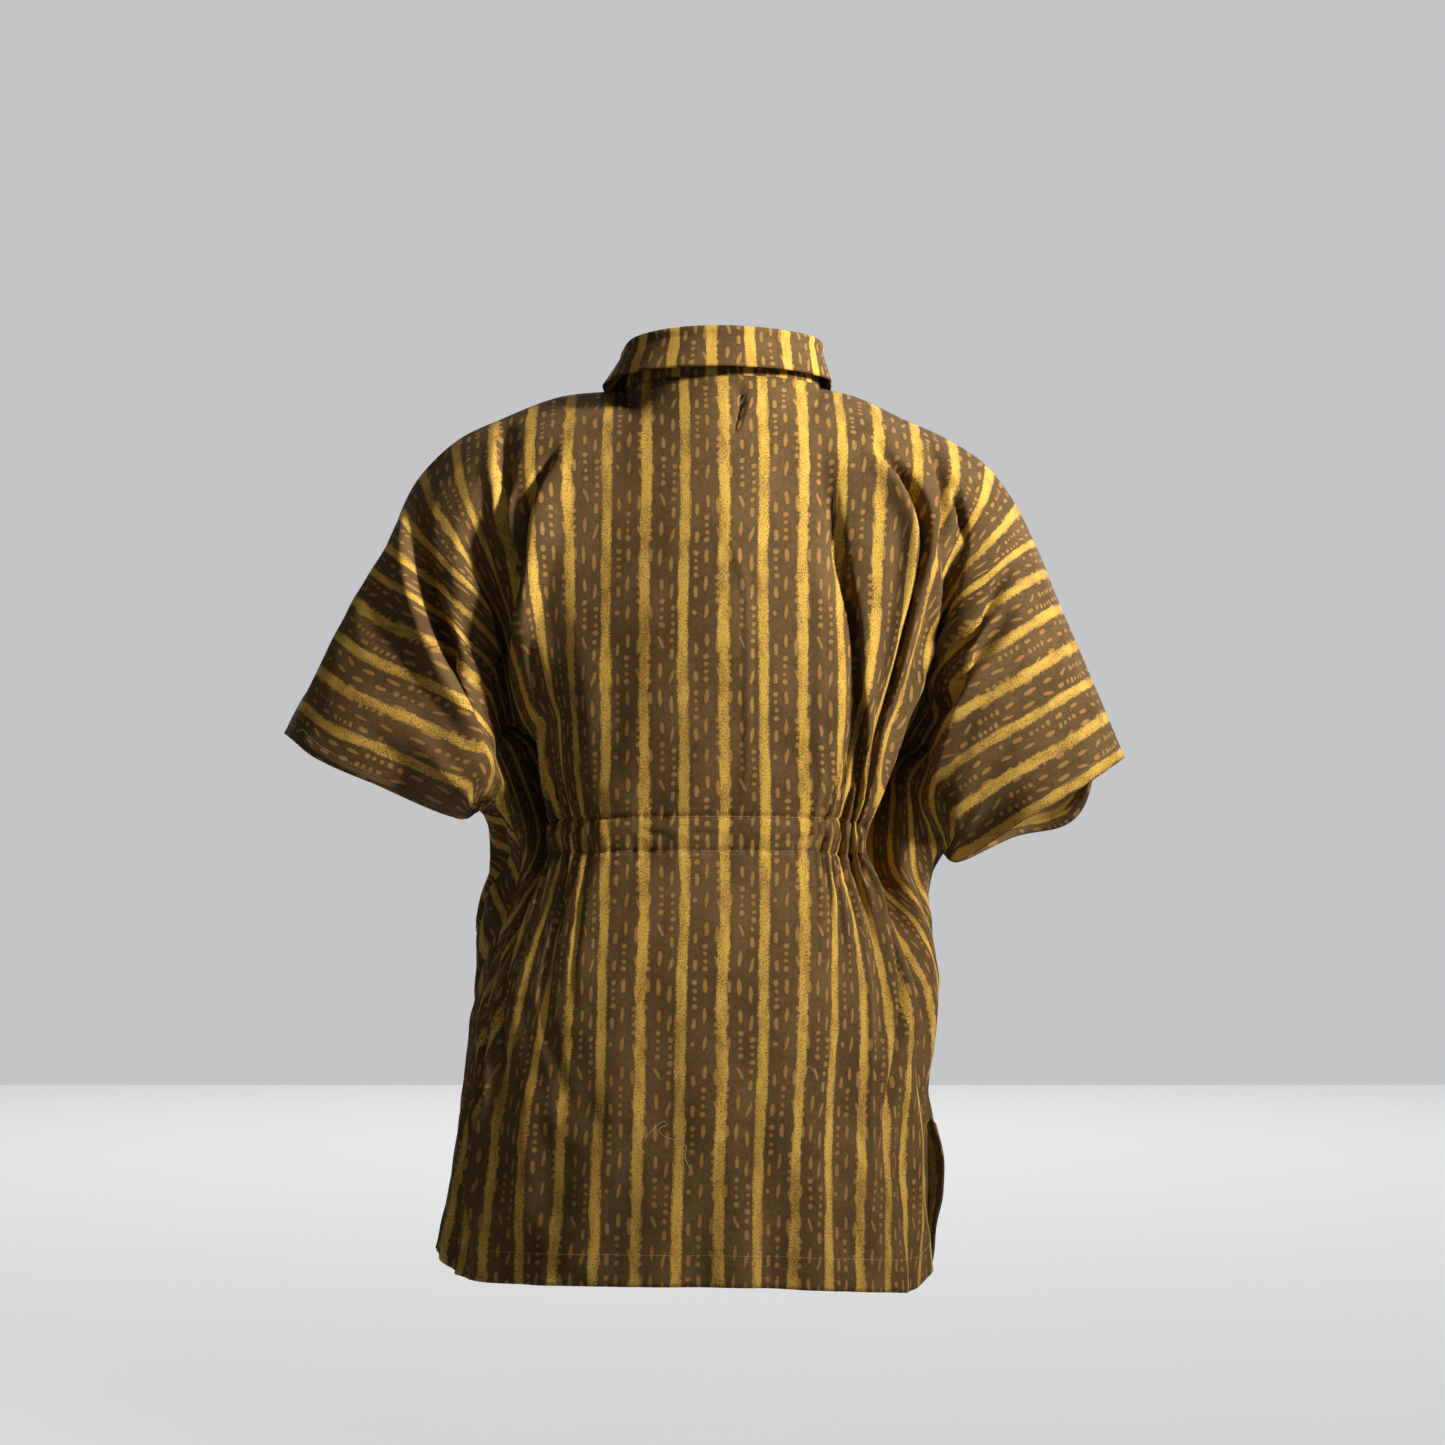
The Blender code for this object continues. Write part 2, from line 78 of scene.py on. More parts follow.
# How the flat cloth is laid out on the worn form, where some of it is taken up by gathers and deep folds.
# level, flat place of the middle of the grid, gathers' two shares, part of the spare cloth in the gathers,
# the two shares between which the cloth turns from the body to the sleeve or the side
LAYOUT = {
    "back left": (
        (0, 5.4, 0.20, 0.42, 0.0, 0.30, 0.74), (60, 3.4, 0.20, 0.42, 0.0, 0.32, 0.72),
        (120, 1.4, 0.20, 0.42, 0.05, 0.34, 0.66), (160, 0.0, 0.20, 0.42, 0.08, 0.37, 0.62),
        (225, -3.4, 0.20, 0.42, 0.12, 0.40, 0.60), (300, -6.9, 0.20, 0.42, 0.22, 0.46, 0.67),
        (384, -10.2, 0.22, 0.44, 0.36, 0.52, 0.74), (412, -11.3, 0.22, 0.44, 0.36, 0.54, 0.78),
        (480, -14.0, 0.18, 0.50, 0.36, 0.50, 0.95), (560, -16.4, 0.12, 0.60, 0.45, 0.50, 1.0),
        (635, -18.6, 0.1, 0.8, 0.55, 0.50, 1.0), (765, -20.0, 0.1, 0.9, 0.60, 0.50, 1.0),
    ),
    "back right": (
        (0, 5.4, 0.26, 0.48, 0.0, 0.36, 0.70), (60, 3.4, 0.27, 0.48, 0.0, 0.38, 0.66),
        (120, 1.4, 0.28, 0.48, 0.10, 0.40, 0.62), (160, 0.0, 0.28, 0.48, 0.12, 0.40, 0.60),
        (225, -3.4, 0.28, 0.48, 0.18, 0.42, 0.60), (300, -6.9, 0.27, 0.48, 0.35, 0.46, 0.66),
        (384, -10.2, 0.27, 0.47, 0.56, 0.50, 0.70), (412, -11.3, 0.27, 0.47, 0.56, 0.52, 0.74),
        (480, -14.0, 0.25, 0.56, 0.55, 0.55, 0.95), (560, -16.4, 0.20, 0.7, 0.5, 0.60, 1.0),
        (635, -18.6, 0.1, 0.8, 0.5, 0.60, 1.0), (765, -20.0, 0.1, 0.9, 0.5, 0.60, 1.0),
    ),
    "front": (
        (0, 0.0, 0.2, 0.5, 0.2, 0.30, 0.72), (120, 0.0, 0.2, 0.5, 0.2, 0.36, 0.66),
        (200, 0.0, 0.2, 0.5, 0.2, 0.38, 0.64), (400, 0.0, 0.2, 0.6, 0.3, 0.40, 0.80),
        (765, 0.0, 0.1, 0.9, 0.5, 0.40, 1.0),
    ),
}

# The seam along the top of each sleeve, from the neck to the sleeve's end.
# length along the seam, x, y, z
OVERARM_RIGHT = (
    (0, 86, 0, 1), (33, 118, 0, -7), (74, 158, 0, -26), (118, 197, 0, -44), (154, 228, 0, -64),
    (200, 256, 0, -99), (240, 274, 0, -135), (297, 295, 0, -188), (354, 317, 0, -241), (445, 352, 0, -327),
)
OVERARM_LEFT = (
    (0, -86, 0, -1), (56, -148, 0, -8), (98, -196, 0, -27), (139, -233, 0, -45), (166, -254, 0, -63),
    (190, -270, 0, -82), (216, -282, 0, -105), (248, -292, 0, -135), (288, -305, 0, -170),
    (328, -322, 0, -206), (368, -344, 0, -241), (410, -369, 0, -276), (445, -384, 0, -306),
)

SHARES = (0.0, 0.2, 0.4, 0.6, 0.8, 1.0)

# Places on the back's right half, from the centre out to the sleeve end or the side.
# level, then x y z at each of the shares above
BACK_RIGHT = (
    (60, (-3, -92, -58), (97, -64, -50), (193, -48, -76),
     (262, -42, -152), (300, -42, -247), (338, -40, -336)),
    (125, (-5, -107, -125), (98, -88, -120), (182, -76, -130),
     (243, -66, -190), (277, -64, -280), (306, -60, -357)),
    (205, (-9, -116, -205), (98, -98, -205), (160, -82, -215),
     (207, -76, -262), (235, -70, -330), (257, -58, -385)),
    (285, (-13, -113, -285), (92, -97, -287), (138, -70, -292),
     (176, -62, -335), (203, -55, -381), (204, 4, -419)),
    (345, (-15, -104, -345), (80, -90, -347), (122, -66, -350),
     (160, -45, -368), (191, -22, -402), (193, 22, -412)),
    (398, (-17, -98, -398), (62, -90, -398), (110, -64, -400),
     (142, -38, -415), (174, -10, -434), (182, 28, -440)),
    (450, (-19, -104, -452), (62, -96, -452), (116, -74, -453),
     (152, -42, -460), (179, -6, -472), (184, 26, -478)),
    (520, (-23, -118, -522), (56, -110, -522), (116, -88, -523),
     (160, -55, -525), (184, -18, -526), (188, 16, -526)),
    (635, (-28, -130, -635), (30, -126, -635), (87, -110, -637),
     (136, -80, -640), (167, -40, -641), (177, 3, -640)),
    (765, (-33, -134, -767), (23, -130, -768), (78, -115, -772),
     (130, -87, -777), (164, -46, -780), (180, -4, -766)),
)

# Places on the back's left half; the centre is shared.
BACK_LEFT = (
    (60, (-102, -64, -50), (-215, -46, -76), (-286, -42, -146), (-331, -44, -218), (-371, -42, -314)),
    (125, (-104, -88, -120), (-200, -77, -130), (-268, -66, -186), (-317, -66, -254), (-347, -60, -332)),
    (205, (-108, -98, -205), (-176, -82, -213), (-232, -76, -248), (-276, -72, -301), (-300, -58, -353)),
    (285, (-110, -97, -287), (-154, -72, -290), (-190, -66, -325), (-221, -60, -366), (-226, -4, -381)),
    (345, (-104, -90, -347), (-144, -66, -348), (-174, -48, -355), (-197, -42, -368), (-197, -10, -364)),
    (398, (-94, -90, -398), (-137, -64, -398), (-160, -44, -402), (-172, -34, -406), (-173, -20, -408)),
    (450, (-100, -96, -452), (-147, -72, -452), (-168, -54, -453), (-177, -42, -455), (-179, -28, -458)),
    (520, (-108, -110, -522), (-163, -86, -522), (-189, -64, -522), (-201, -42, -522), (-205, -20, -524)),
    (635, (-87, -126, -635), (-144, -110, -635), (-193, -80, -635), (-219, -42, -635), (-226, -1, -636)),
    (765, (-90, -130, -767), (-144, -113, -768), (-194, -86, -769), (-230, -46, -765), (-247, -3, -752)),
)

# Places on the front's right half, in the same order as the back's.
FRONT_RIGHT = (
    (60, (-3, 100, -124), (98, 62, -62), (193, 47, -78), (262, 44, -154), (300, 43, -250), (340, 42, -348)),
    (125, (-5, 114, -176), (96, 94, -128), (182, 76, -134),
     (243, 67, -195), (278, 65, -290), (312, 61, -381)),
    (205, (-9, 125, -231), (94, 114, -208), (162, 86, -217),
     (208, 74, -268), (238, 68, -340), (262, 62, -394)),
    (285, (-12, 129, -285), (92, 118, -287), (144, 88, -297),
     (180, 68, -340), (206, 58, -388), (204, 4, -419)),
    (345, (-14, 124, -345), (86, 112, -347), (134, 88, -352),
     (167, 68, -374), (190, 52, -398), (193, 22, -412)),
    (398, (-16, 121, -398), (80, 111, -398), (128, 90, -401),
     (160, 70, -414), (180, 52, -431), (182, 28, -440)),
    (450, (-19, 124, -452), (78, 115, -452), (128, 94, -454),
     (161, 72, -462), (181, 50, -475), (184, 26, -478)),
    (520, (-22, 128, -522), (73, 121, -522), (125, 102, -524),
     (163, 76, -526), (182, 46, -528), (188, 16, -526)),
    (635, (-28, 127, -635), (31, 124, -636), (90, 111, -638),
     (141, 85, -640), (170, 46, -641), (177, 3, -640)),
    (765, (-34, 125, -764), (25, 122, -766), (82, 110, -768),
     (134, 86, -768), (169, 50, -768), (181, 8, -764)),
)

FRONT_LEFT = (
    (60, (-103, 62, -62), (-215, 47, -78), (-286, 44, -148), (-331, 44, -220), (-373, 44, -312)),
    (125, (-104, 94, -128), (-200, 77, -134), (-268, 68, -192), (-318, 68, -252), (-352, 60, -321)),
    (205, (-106, 114, -208), (-178, 90, -216), (-233, 77, -255), (-278, 70, -298), (-305, 60, -340)),
    (285, (-110, 118, -287), (-166, 93, -296), (-202, 76, -332), (-224, 56, -362), (-226, -4, -381)),
    (345, (-108, 112, -347), (-160, 90, -351), (-194, 66, -362), (-211, 34, -377), (-197, -10, -364)),
    (398, (-106, 111, -398), (-158, 90, -400), (-192, 64, -404), (-204, 26, -412), (-173, -20, -408)),
    (450, (-109, 115, -452), (-165, 94, -454), (-204, 63, -456), (-214, 20, -458), (-179, -28, -458)),
    (520, (-113, 121, -522), (-170, 101, -523), (-208, 67, -524), (-218, 24, -525), (-205, -20, -524)),
    (635, (-89, 124, -635), (-148, 111, -636), (-200, 83, -637), (-224, 44, -637), (-226, -1, -636)),
    (765, (-93, 122, -764), (-150, 110, -762), (-202, 87, -760), (-237, 50, -756), (-249, 6, -751)),
)

# Folds, each followed from its upper end down; a share below zero is on the left.
# share, level, half width as a share, depth in millimetres (out is above zero)
RIGHT_HOLLOW = (
    (0.46, 80, 0.06, 0), (0.485, 150, 0.09, -22), (0.51, 225, 0.10, -56), (0.54, 300, 0.105, -68),
    (0.57, 370, 0.11, -62), (0.61, 430, 0.12, -36), (0.68, 500, 0.12, -18), (0.77, 580, 0.10, -8),
    (0.84, 650, 0.08, 0),
)
LEFT_HOLLOW = (
    (-0.37, 80, 0.06, 0), (-0.43, 160, 0.09, -26), (-0.49, 225, 0.10, -60), (-0.54, 300, 0.105, -72),
    (-0.58, 370, 0.11, -62), (-0.63, 430, 0.12, -26), (-0.69, 500, 0.12, -7), (-0.74, 570, 0.10, 0),
)
RIGHT_BACK_CREASE = (
    (0.17, 70, 0.05, 0), (0.20, 150, 0.055, -7), (0.25, 240, 0.06, -9), (0.33, 340, 0.06, -9),
    (0.37, 400, 0.05, -5), (0.42, 500, 0.06, 0),
)
FRONT_HOLLOW = (
    (0.46, 110, 0.08, 0), (0.48, 200, 0.11, -18), (0.50, 300, 0.13, -34), (0.50, 380, 0.13, -26),
    (0.50, 480, 0.11, 0),
)
SLIT_BULGE = (
    (1.0, 610, 0.14, 0), (1.0, 665, 0.16, 13), (1.0, 705, 0.16, 14), (1.0, 745, 0.15, 4),
    (1.0, 766, 0.14, 0),
)
FOLDS = {
    "back": (RIGHT_HOLLOW, LEFT_HOLLOW, RIGHT_BACK_CREASE),
    "front": (FRONT_HOLLOW, tuple((-row[0],) + row[1:] for row in FRONT_HOLLOW), SLIT_BULGE),
}

# The small folds of the back, each from its upper end down.
# share, level, half width on the left, half width on the right, depth in millimetres (out is above zero)
BACK_CREASES = {
    "left sleeve edge": (
        (-0.560, 10, 0.06, 0.016, 0), (-0.567, 70, 0.07, 0.016, 6.6), (-0.593, 124, 0.07, 0.016, 11),
        (-0.617, 170, 0.07, 0.016, 13.2), (-0.630, 205, 0.07, 0.016, 11), (-0.628, 240, 0.06, 0.016, 6.6),
        (-0.620, 275, 0.06, 0.016, 0),
    ),
    "left sleeve trough": (
        (-0.536, 10, 0.016, 0.05, 0), (-0.543, 70, 0.016, 0.05, -8.8), (-0.569, 124, 0.016, 0.05, -17.6),
        (-0.593, 170, 0.016, 0.05, -19.8), (-0.606, 205, 0.016, 0.05, -15.4), (-0.604, 240, 0.016, 0.05, -8.8),
        (-0.596, 275, 0.016, 0.04, 0),
    ),
    "left sleeve second trough": (
        (-0.540, 110, 0.04, 0.012, 0), (-0.568, 158, 0.04, 0.012, -11), (-0.570, 185, 0.04, 0.012, -15.4),
        (-0.575, 214, 0.04, 0.012, -13.2), (-0.557, 245, 0.03, 0.012, 0),
    ),
    "left arm ridge": (
        (-0.480, 130, 0.05, 0.0144, 0), (-0.483, 165, 0.05, 0.0144, 8.8), (-0.492, 195, 0.05, 0.0144, 11),
        (-0.520, 230, 0.05, 0.0144, 8.8), (-0.545, 270, 0.05, 0.0144, 0),
    ),
    "left shoulder edge": (
        (-0.352, 0, 0.03, 0.0096, 0), (-0.368, 70, 0.03, 0.0096, 3.2), (-0.380, 112, 0.03, 0.0096, 6.6),
        (-0.398, 148, 0.03, 0.0096, 6.6), (-0.412, 177, 0.03, 0.0096, 3.2), (-0.405, 205, 0.03, 0.0096, 0),
    ),
    "left shoulder trough": (
        (-0.338, 0, 0.0096, 0.03, 0), (-0.354, 70, 0.0096, 0.03, -11), (-0.364, 112, 0.0096, 0.0128, -17.6),
        (-0.376, 148, 0.0096, 0.0128, -17.6), (-0.386, 177, 0.0096, 0.0128, -13.2), (-0.390, 205, 0.0096, 0.0128, 0),
    ),
    "left shoulder pleat": (
        (-0.345, 95, 0.0096, 0.0096, 0), (-0.352, 125, 0.0096, 0.0096, 8.8), (-0.354, 165, 0.0096, 0.0096, 11),
        (-0.378, 195, 0.0096, 0.0096, 6.6), (-0.400, 220, 0.0096, 0.0096, 0),
    ),
    "left back edge": (
        (-0.250, 55, 0.0096, 0.06, 0), (-0.272, 85, 0.0096, 0.06, 3.2), (-0.297, 110, 0.0096, 0.06, 8.8),
        (-0.314, 132, 0.0096, 0.06, 11), (-0.332, 160, 0.0112, 0.06, 11), (-0.360, 190, 0.0128, 0.06, 11),
        (-0.392, 213, 0.0128, 0.06, 8.8), (-0.434, 235, 0.0128, 0.06, 8.8), (-0.468, 265, 0.0128, 0.06, 6.6),
        (-0.500, 300, 0.0128, 0.05, 3.2), (-0.560, 340, 0.0128, 0.05, 0),
    ),
    "left back trough": (
        (-0.275, 70, 0.0112, 0.0112, 0), (-0.302, 98, 0.0112, 0.0112, -8.8), (-0.334, 132, 0.0112, 0.0128, -15.4),
        (-0.352, 160, 0.0112, 0.0128, -17.6), (-0.381, 190, 0.0128, 0.0144, -15.4), (-0.412, 213, 0.0128, 0.0144, -11),
        (-0.455, 238, 0.0128, 0.0144, 0),
    ),
    "right back trough": (
        (0.176, 60, 0.03, 0.0128, 0), (0.186, 104, 0.03, 0.0128, -4), (0.195, 132, 0.026, 0.012, -6),
        (0.212, 177, 0.022, 0.0112, -8), (0.243, 216, 0.020, 0.0112, -9), (0.278, 262, 0.018, 0.0112, -10),
        (0.341, 312, 0.018, 0.0112, -9), (0.365, 335, 0.016, 0.0112, -8), (0.390, 366, 0.014, 0.0096, -6),
        (0.400, 384, 0.014, 0.0096, 0),
    ),
    "right back ridge": (
        (0.200, 95, 0.0096, 0.04, 0), (0.213, 132, 0.0096, 0.04, 2), (0.230, 177, 0.0096, 0.04, 4.5),
        (0.260, 216, 0.0096, 0.036, 6), (0.295, 262, 0.0096, 0.034, 7), (0.358, 312, 0.0096, 0.03, 7),
        (0.382, 335, 0.0096, 0.02, 6), (0.406, 366, 0.0096, 0.016, 5), (0.415, 390, 0.0096, 0.016, 0),
    ),
    "right shoulder edge": (
        (0.275, 75, 0.05, 0.0112, 0), (0.304, 95, 0.05, 0.0112, 6.6), (0.335, 118, 0.05, 0.0112, 8.8),
        (0.362, 142, 0.05, 0.0112, 8.8), (0.376, 178, 0.05, 0.0112, 6.6), (0.372, 220, 0.04, 0.0112, 3.2),
        (0.375, 270, 0.04, 0.0112, 0),
    ),
    "right shoulder trough": (
        (0.260, 50, 0.016, 0.03, 0), (0.290, 79, 0.016, 0.03, -8.8), (0.320, 92, 0.0144, 0.03, -13.2),
        (0.350, 110, 0.0144, 0.03, -19.8), (0.378, 135, 0.0144, 0.02, -22), (0.397, 178, 0.0144, 0.02, -22),
        (0.395, 220, 0.0144, 0.02, -17.6), (0.400, 266, 0.0144, 0.02, -15.4), (0.397, 303, 0.0144, 0.02, -11),
        (0.425, 350, 0.0144, 0.016, 0),
    ),
    "right back edge": (
        (0.420, 130, 0.0144, 0.016, 0), (0.440, 165, 0.0144, 0.016, 6.6), (0.462, 200, 0.016, 0.016, 11),
        (0.466, 240, 0.016, 0.016, 11), (0.463, 280, 0.016, 0.016, 8.8), (0.475, 330, 0.016, 0.016, 8.8),
        (0.480, 384, 0.016, 0.016, 0),
    ),
    "right upper sleeve trough": (
        (0.360, 25, 0.016, 0.03, 0), (0.379, 58, 0.0144, 0.03, -8.8), (0.403, 83, 0.0144, 0.03, -13.2),
        (0.423, 121, 0.0144, 0.02, -11), (0.430, 146, 0.0144, 0.016, -6.6), (0.436, 168, 0.0144, 0.016, 0),
    ),
    "right upper sleeve dent": (
        (0.425, 72, 0.016, 0.016, 0), (0.440, 88, 0.016, 0.016, -8.8), (0.462, 102, 0.016, 0.016, -11),
        (0.480, 122, 0.016, 0.016, 0),
    ),
    "right sleeve edge": (
        (0.490, 105, 0.0112, 0.05, 0), (0.508, 139, 0.0112, 0.05, 8.8), (0.522, 159, 0.0112, 0.05, 11),
        (0.529, 180, 0.0112, 0.05, 11), (0.525, 205, 0.0112, 0.05, 11), (0.515, 241, 0.0112, 0.05, 8.8),
        (0.510, 280, 0.0112, 0.05, 0),
    ),
    "right sleeve first trough": (
        (0.583, 92, 0.016, 0.03, 0), (0.580, 116, 0.016, 0.03, -8.8), (0.575, 154, 0.016, 0.03, -13.2),
        (0.562, 178, 0.016, 0.03, -13.2), (0.544, 200, 0.016, 0.03, -8.8), (0.530, 228, 0.016, 0.03, 0),
    ),
    "right sleeve second trough": (
        (0.632, 125, 0.02, 0.035, 0), (0.624, 152, 0.02, 0.035, -11), (0.610, 176, 0.02, 0.035, -15.4),
        (0.592, 198, 0.02, 0.035, -15.4), (0.575, 230, 0.02, 0.035, -13.2), (0.545, 259, 0.02, 0.03, -6.6),
        (0.525, 285, 0.02, 0.03, 0),
    ),
    "long ridge on the right": (
        (0.158, 140, 0.008, 0.0096, 0), (0.162, 200, 0.008, 0.0096, 2.4), (0.168, 250, 0.008, 0.0096, 3.2),
        (0.185, 317, 0.008, 0.0096, 3.2), (0.228, 368, 0.008, 0.0096, 4), (0.262, 420, 0.008, 0.0096, 3.2),
        (0.270, 480, 0.008, 0.0096, 1.6), (0.275, 520, 0.008, 0.0096, 0),
    ),
    "press line": (
        (-0.030, 115, 0.0064, 0.0064, 0), (0.022, 153, 0.0064, 0.0064, 1.9), (0.048, 187, 0.0064, 0.0064, 2.2),
        (0.057, 238, 0.0064, 0.0064, 2.1), (0.062, 286, 0.0064, 0.0064, 2.1), (0.070, 345, 0.0064, 0.0064, 1.6),
        (0.075, 382, 0.0064, 0.0064, 0),
    ),
    "pinch under the collar": (
        (0.016, 8, 0.008, 0.006, 0), (0.024, 20, 0.008, 0.006, -6), (0.030, 34, 0.008, 0.006, -8.5),
        (0.030, 48, 0.008, 0.006, -7.5), (0.026, 62, 0.008, 0.006, 0),
    ),
    "right skirt edge": (
        (0.460, 400, 0.06, 0.0096, 0), (0.470, 435, 0.06, 0.0096, 8.8), (0.490, 475, 0.06, 0.0112, 8.8),
        (0.530, 543, 0.06, 0.0128, 6.6), (0.560, 600, 0.06, 0.0128, 3.2), (0.580, 660, 0.06, 0.0128, 0),
    ),
    "right skirt trough": (
        (0.480, 404, 0.0096, 0.04, 0), (0.492, 435, 0.0096, 0.04, -11), (0.514, 475, 0.0112, 0.04, -11),
        (0.556, 543, 0.0128, 0.05, -8.8), (0.590, 610, 0.0144, 0.05, -6.6), (0.600, 680, 0.016, 0.05, 0),
    ),
    "second right skirt ridge": (
        (0.400, 470, 0.016, 0.016, 0), (0.430, 530, 0.016, 0.016, 4), (0.490, 590, 0.016, 0.016, 4),
        (0.550, 650, 0.016, 0.016, 2.4), (0.570, 720, 0.016, 0.016, 0),
    ),
    "left skirt trough": (
        (-0.640, 400, 0.03, 0.03, 0), (-0.600, 440, 0.03, 0.03, -8.8), (-0.570, 500, 0.04, 0.04, -8.8),
        (-0.560, 580, 0.05, 0.05, -6.6), (-0.560, 680, 0.06, 0.06, 0),
    ),
    "second left skirt trough": (
        (-0.360, 404, 0.0112, 0.0112, 0), (-0.352, 428, 0.0112, 0.016, -6.6), (-0.340, 470, 0.016, 0.03, -6.6),
        (-0.335, 560, 0.04, 0.04, -3.2), (-0.340, 650, 0.05, 0.05, 0),
    ),
    "third left skirt trough": (
        (-0.276, 404, 0.0096, 0.0096, 0), (-0.266, 445, 0.0112, 0.016, -4), (-0.254, 485, 0.016, 0.016, -3.2),
        (-0.250, 560, 0.03, 0.03, 0),
    ),
    "left skirt edge": (
        (-0.600, 545, 0.03, 0.05, 0), (-0.615, 587, 0.014, 0.06, 4), (-0.630, 629, 0.014, 0.06, 7),
        (-0.685, 663, 0.014, 0.06, 8), (-0.692, 691, 0.014, 0.06, 8), (-0.675, 712, 0.014, 0.06, 7),
        (-0.660, 735, 0.018, 0.06, 3), (-0.670, 768, 0.02, 0.06, 0),
    ),
    "left skirt hollow": (
        (-0.800, 480, 0.08, 0.03, 0), (-0.745, 520, 0.09, 0.03, -8), (-0.690, 560, 0.08, 0.025, -12),
        (-0.662, 600, 0.08, 0.018, -13), (-0.665, 632, 0.08, 0.015, -14), (-0.716, 663, 0.07, 0.015, -13),
        (-0.724, 691, 0.07, 0.015, -11), (-0.706, 712, 0.06, 0.015, -8), (-0.693, 735, 0.06, 0.018, -3.5),
        (-0.700, 768, 0.06, 0.02, 0),
    ),
    "left hem swing": (
        (-0.800, 560, 0.1, 0.08, 0), (-0.820, 650, 0.1, 0.08, -9), (-0.830, 720, 0.1, 0.08, -9),
        (-0.830, 770, 0.1, 0.08, -7),
    ),
}

# The same for the front, which hangs in softer folds.
FRONT_CREASES = {
    "right shoulder trough": (
        (0.250, 20, 0.03, 0.02, 0), (0.290, 70, 0.03, 0.02, -6), (0.340, 130, 0.03, 0.02, -10.5),
        (0.385, 200, 0.04, 0.02, -12), (0.410, 270, 0.04, 0.02, -9), (0.430, 350, 0.03, 0.02, 0),
    ),
    "right shoulder ridge": (
        (0.290, 40, 0.014, 0.04, 0), (0.325, 80, 0.014, 0.04, 4.5), (0.372, 135, 0.014, 0.04, 6),
        (0.415, 200, 0.016, 0.04, 6), (0.440, 270, 0.016, 0.04, 4.5), (0.460, 340, 0.016, 0.04, 0),
    ),
    "right arm trough": (
        (0.420, 60, 0.02, 0.03, 0), (0.450, 110, 0.02, 0.03, -7.5), (0.480, 170, 0.02, 0.03, -10.5),
        (0.500, 240, 0.02, 0.03, -7.5), (0.520, 310, 0.02, 0.03, 0),
    ),
    "right sleeve trough": (
        (0.640, 70, 0.02, 0.04, 0), (0.630, 120, 0.02, 0.04, -7.5), (0.610, 180, 0.02, 0.04, -9),
        (0.580, 240, 0.02, 0.04, -6), (0.560, 290, 0.02, 0.03, 0),
    ),
    "left shoulder trough": (
        (-0.230, 15, 0.02, 0.03, 0), (-0.275, 75, 0.02, 0.03, -6), (-0.320, 140, 0.02, 0.04, -10.5),
        (-0.365, 210, 0.02, 0.04, -12), (-0.395, 280, 0.02, 0.04, -7.5), (-0.410, 360, 0.02, 0.03, 0),
    ),
    "left shoulder ridge": (
        (-0.265, 40, 0.04, 0.014, 0), (-0.305, 85, 0.04, 0.014, 4.5), (-0.350, 140, 0.04, 0.014, 6),
        (-0.395, 210, 0.04, 0.016, 6), (-0.425, 290, 0.04, 0.016, 0),
    ),
    "left arm trough": (
        (-0.440, 50, 0.03, 0.02, 0), (-0.462, 110, 0.03, 0.02, -9), (-0.485, 175, 0.03, 0.02, -12),
        (-0.510, 240, 0.03, 0.02, -7.5), (-0.525, 300, 0.03, 0.02, 0),
    ),
    "left sleeve trough": (
        (-0.600, 60, 0.04, 0.02, 0), (-0.605, 120, 0.04, 0.02, -7.5), (-0.600, 180, 0.04, 0.02, -9),
        (-0.585, 235, 0.04, 0.02, 0),
    ),
    "left side drag": (
        (-0.980, 330, 0.05, 0.05, 0), (-0.880, 400, 0.05, 0.04, -9), (-0.780, 460, 0.05, 0.04, -10.5),
        (-0.680, 530, 0.05, 0.05, -7.5), (-0.600, 610, 0.06, 0.06, 0),
    ),
    "left side second drag": (
        (-0.990, 420, 0.04, 0.04, 0), (-0.910, 480, 0.04, 0.04, -7.5), (-0.850, 550, 0.05, 0.05, -9),
        (-0.810, 640, 0.05, 0.06, -6), (-0.800, 740, 0.06, 0.06, 0),
    ),
    "right side drag": (
        (0.980, 350, 0.05, 0.05, 0), (0.880, 410, 0.04, 0.05, -9), (0.790, 470, 0.04, 0.05, -9),
        (0.700, 540, 0.05, 0.05, -6), (0.640, 620, 0.06, 0.06, 0),
    ),
    "right side second drag": (
        (0.985, 450, 0.04, 0.04, 0), (0.910, 510, 0.04, 0.04, -6), (0.860, 580, 0.05, 0.05, -6),
        (0.830, 680, 0.06, 0.05, 0),
    ),
    "right belly fold": (
        (0.180, 260, 0.04, 0.05, 0), (0.200, 360, 0.05, 0.06, -4.5), (0.240, 480, 0.06, 0.07, -7.5),
        (0.300, 620, 0.08, 0.08, -9), (0.330, 770, 0.09, 0.09, -9),
    ),
    "left belly fold": (
        (-0.160, 280, 0.05, 0.04, 0), (-0.190, 380, 0.06, 0.05, -4.5), (-0.240, 500, 0.07, 0.06, -7.5),
        (-0.300, 640, 0.08, 0.08, -9), (-0.340, 770, 0.09, 0.09, -9),
    ),
    "middle fold": (
        (0.010, 160, 0.02, 0.02, 0), (0.020, 240, 0.03, 0.03, 3), (0.015, 380, 0.05, 0.05, 4.5),
        (0.000, 560, 0.07, 0.07, 4.5), (-0.010, 770, 0.09, 0.09, 3),
    ),
}
CREASES = {"back": BACK_CREASES, "front": FRONT_CREASES}

